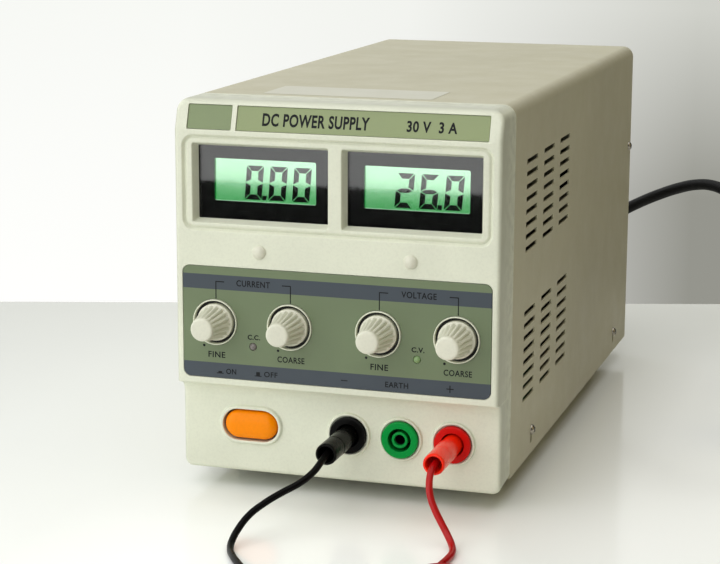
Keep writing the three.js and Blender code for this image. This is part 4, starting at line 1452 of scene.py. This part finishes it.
def make_fuse_holder():
    """A fuse holder with a finely ribbed cap; its slot for a coin is a thin dark bar of painted shade on the
    cap's face.
    """
    foot = 262 - PANEL_FACE  # where the holder ends inside the case
    shape = [
        (0, 12.4), (2.6, 12.4), (2.8, 13), (4.9, 13), (5.6, 12.6), (6, 11.8), (6, 5.2), (5.4, 4.9),
        (5.4, 4.7), (7.2, 4.5), (7.8, 3.8), (8, 2.4), (8, 0), (6.2, 0), (6.2, foot), (0, foot),
    ]

    def ribbed(point):
        x, y, z = point
        size = math.hypot(x, z)
        if 5.8 < size < 6.1 and 5.1 < y < 12:
            size = 1 - 0.05 * (0.5 + 0.5 * math.cos(20 * math.atan2(z, x)))
            x, z = x * size, z * size
        return REAR_COLUMN + x, PANEL_FACE + y, FUSE_Z + z

    cap = turned(shape, steps=80).moved(ribbed)
    made = cap.piece("fuse_cap", black_plastic, node="fuse_holder", slot="black_plastic", sharp=40)
    # Painted shade: a thin dark bar on the cap's face stands for the coin slot.
    slot = rectangle(REAR_COLUMN - 2.4, REAR_COLUMN + 2.4, FUSE_Z - 0.5, FUSE_Z + 0.5)
    groove = Skin()
    groove.solid([ring_at(slot, PANEL_FACE + y) for y in (12.3, 12.5)])
    groove.piece("fuse_cap_slot_shade", rubber, parent=made)


def make_strain_relief():
    """A tapered sleeve with ribs cut round it, so that it bends with the cord."""
    face, end = PANEL_FACE, 315.7
    ribs, pitch = 6, 3.5
    flange = ((6, 0), (8.7, 0), (9, 0.3), (9, 2.2), (8.6, 2.6), (6.6, 2.7))
    shape = [(0, 281), (6, 281), *((radius, face + y) for radius, y in flange)]
    for rib in range(ribs):
        y = face + 3.6 + pitch * rib
        radius = 6.6 - 2.2 * (y - face) / (end - face)
        shape += [(radius, y), (radius - 0.9, y + 0.35), (radius - 0.9, y + 1.3), (radius - 0.15, y + 1.65)]
    shape += [(4.3, end - 1.2), (4.1, end - 0.3), (3.7, end), (0, end)]
    sleeve = turned(shape, (REAR_COLUMN, 0, CORD_Z), 44)
    sleeve.piece("cord_sleeve", rubber, node="strain_relief", slot="rubber", sharp=40)


def finish_hidden_parts():
    """The CAD parts whose shape is right keep it and get a finish."""
    finishes = {
        "base_pan": cover_paint,
        "rear_panel": cover_paint,
        "pass_transistor": zinc_steel,
        "transformer": transformer_steel,
        "main_board": circuit_board,
        "filter_capacitor": capacitor_sleeve,
        "power_switch": black_plastic,
    }
    for name in KNOB_NAMES:
        finishes[f"pot_shaft_{name}"] = plain_steel
        finishes[f"potentiometer_{name}"] = zinc_steel
    for name, finish in finishes.items():
        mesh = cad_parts[name].data
        mesh.materials.clear()
        mesh.materials.append(finish)


make_cords()
make_socket_plugs()
make_bezel()
make_cover()
make_label()
make_screws()
make_overlay()
make_strip("badge_plate", BADGE_SPAN, badge_film, "badge_strip", "badge_film")
make_strip("title_plate", TITLE_SPAN, strip_film, "title_strip", "strip_film")
make_overlay_print()
make_title_print()
for side_word in LENS_BOXES:
    make_module(side_word)
    make_lens(side_word)
make_knobs()
make_knob_gap_shades()
make_button()
make_sockets()
make_small_front_parts()
make_feet()
make_heat_sink()
make_fuse_holder()
make_strain_relief()
finish_hidden_parts()

# ---------------------------------------------------------------- stage

PALE = linear((238, 240, 236))


def flat_sheet(name, corners, material):
    mesh = bpy.data.meshes.new(name)
    mesh.from_pydata(corners, [], [tuple(range(len(corners)))])
    mesh.materials.append(material)
    linked(name, mesh)


def softbox(name, place, target, width, height, power, color=(1, 1, 1)):
    """A soft rectangular light of that size in metres, facing its target."""
    lamp = bpy.data.lights.new(name, "AREA")
    lamp.shape = "RECTANGLE"
    lamp.size = width
    lamp.size_y = height
    lamp.energy = power
    lamp.color = color
    turn = (Vector(target) - Vector(place)).to_track_quat("-Z", "Y").to_matrix().to_4x4()
    linked(name, lamp).matrix_world = Matrix.Translation(place) @ turn


def backdrop():
    """A pale wall that gives off its own painted light and shade: bright at the left, greyer at the right and
    low down there, pale again at its end.
    """
    wall = Nodes("wall_white", (205, 207, 201), 0.9)
    height = wall.span(wall.separate("Z"), -0.8, 0.2)
    left = wall.ramp(height, ((0.0, linear((255, 255, 253))), (1.0, linear((243, 245, 240)))))
    right = wall.ramp(height, ((0.35, linear((146, 146, 138))), (0.75, linear((206, 207, 200)))))
    across = wall.ramp(wall.span(wall.separate("X"), -1.5, -0.35), ((0.0, 0.0), (0.45, 0.15), (1.0, 1.0)))
    tone = wall.mix(across, left, right)
    tone = wall.mix(wall.span(wall.separate("X"), -0.2, 0.5), tone, PALE)
    wall.feed("Base Color", wall.spots(3, 3, 0.03, 0.04))
    wall.feed("Emission Color", tone)
    wall.set(Emission_Strength=1.0)
    return wall.material


def table_top():
    """Glossy white, with painted shade that makes it darker to the left and behind, and painted light: it
    glows a little beside and before the object.
    """
    table = Nodes("table_white", (247, 249, 245), 0.1)
    x, y = table.separate("X"), table.separate("Y")
    depth = table.span(y, -0.25, 0.25)
    # Painted shade: darker behind and towards the left.
    tone = table.ramp(depth, ((0.0, linear((250, 252, 248))), (1.0, linear((224, 226, 220)))))
    across = table.ramp(table.span(x, -0.6, -0.05), ((0.0, 0.6), (1.0, 1.0)))
    table.feed("Base Color", table.mix(1.0, tone, across, "MULTIPLY"))
    table.feed("Roughness", table.spots(6, 4, 0.1, 0.16))
    # Painted light: the table glows a little beside and before the object.
    along = table.ramp(depth, ((0.0, 0.02), (0.3, 0.12), (0.7, 0.12), (1.0, 0.0)))
    middle = table.ramp(table.span(x, -0.1, 0.12), ((0.0, 0.0), (0.35, 0.1), (0.65, 0.1), (1.0, 0.0)))
    beside = table.math("MULTIPLY", along, table.span(x, 0.064, 0.115))
    before = table.math("MULTIPLY", middle, table.span(y, -0.155, -0.195))
    table.feed("Emission Color", table.math("MAXIMUM", beside, before))
    table.set(Specular_IOR_Level=0.32, Emission_Strength=1.0)
    return table.material


def make_world():
    """Dim light from all round, in front of a pale background."""
    world = bpy.data.worlds.new("world")
    world.use_nodes = True
    tree = world.node_tree
    dim = tree.nodes["Background"]
    dim.inputs["Color"].default_value = (0.97, 1, 0.95, 1)
    dim.inputs["Strength"].default_value = 0.02
    pale = tree.nodes.new("ShaderNodeBackground")
    pale.inputs["Color"].default_value = (*PALE, 1)
    seen = tree.nodes.new("ShaderNodeLightPath")
    mixed = tree.nodes.new("ShaderNodeMixShader")
    sources = (seen.outputs["Is Camera Ray"], dim.outputs[0], pale.outputs[0])
    for source, socket in zip(sources, mixed.inputs):
        tree.links.new(source, socket)
    tree.links.new(mixed.outputs[0], tree.nodes["World Output"].inputs["Surface"])
    bpy.context.scene.world = world


def make_stage():
    """A white table that ends a little way behind the object, a pale wall, and soft lights."""
    turn = math.tan(AZIMUTH)
    edges = [(-0.9, -0.487), (0.9, -0.487), (0.9, 0.25), (-0.9, 0.25)]
    flat_sheet("floor", [(x, y + x * turn, 0) for x, y in edges], table_top())
    flat_sheet("wall", [(x, 3.4, z) for x, z in rectangle(-9, 0.5, -2, 4)], backdrop())
    softbox("front", (-1.35, -1.5, 1.15), (-1.35, 0, 1.15), 3.2, 2.5, 46)
    softbox("left", (-1.8, -0.2, 1.2), (0, -0.2, 1.2), 2.6, 2.4, 14)
    softbox("top", (-0.3, -0.1, 1.7), (-0.3, -0.1, 0), 2.6, 2.4, 27)
    softbox("right", (1.6, 0, 1), (0, 0, 0.1), 2, 2, 6, (1, 0.84, 0.5))
    make_world()
    bpy.context.scene.view_settings.view_transform = "Standard"


make_stage()
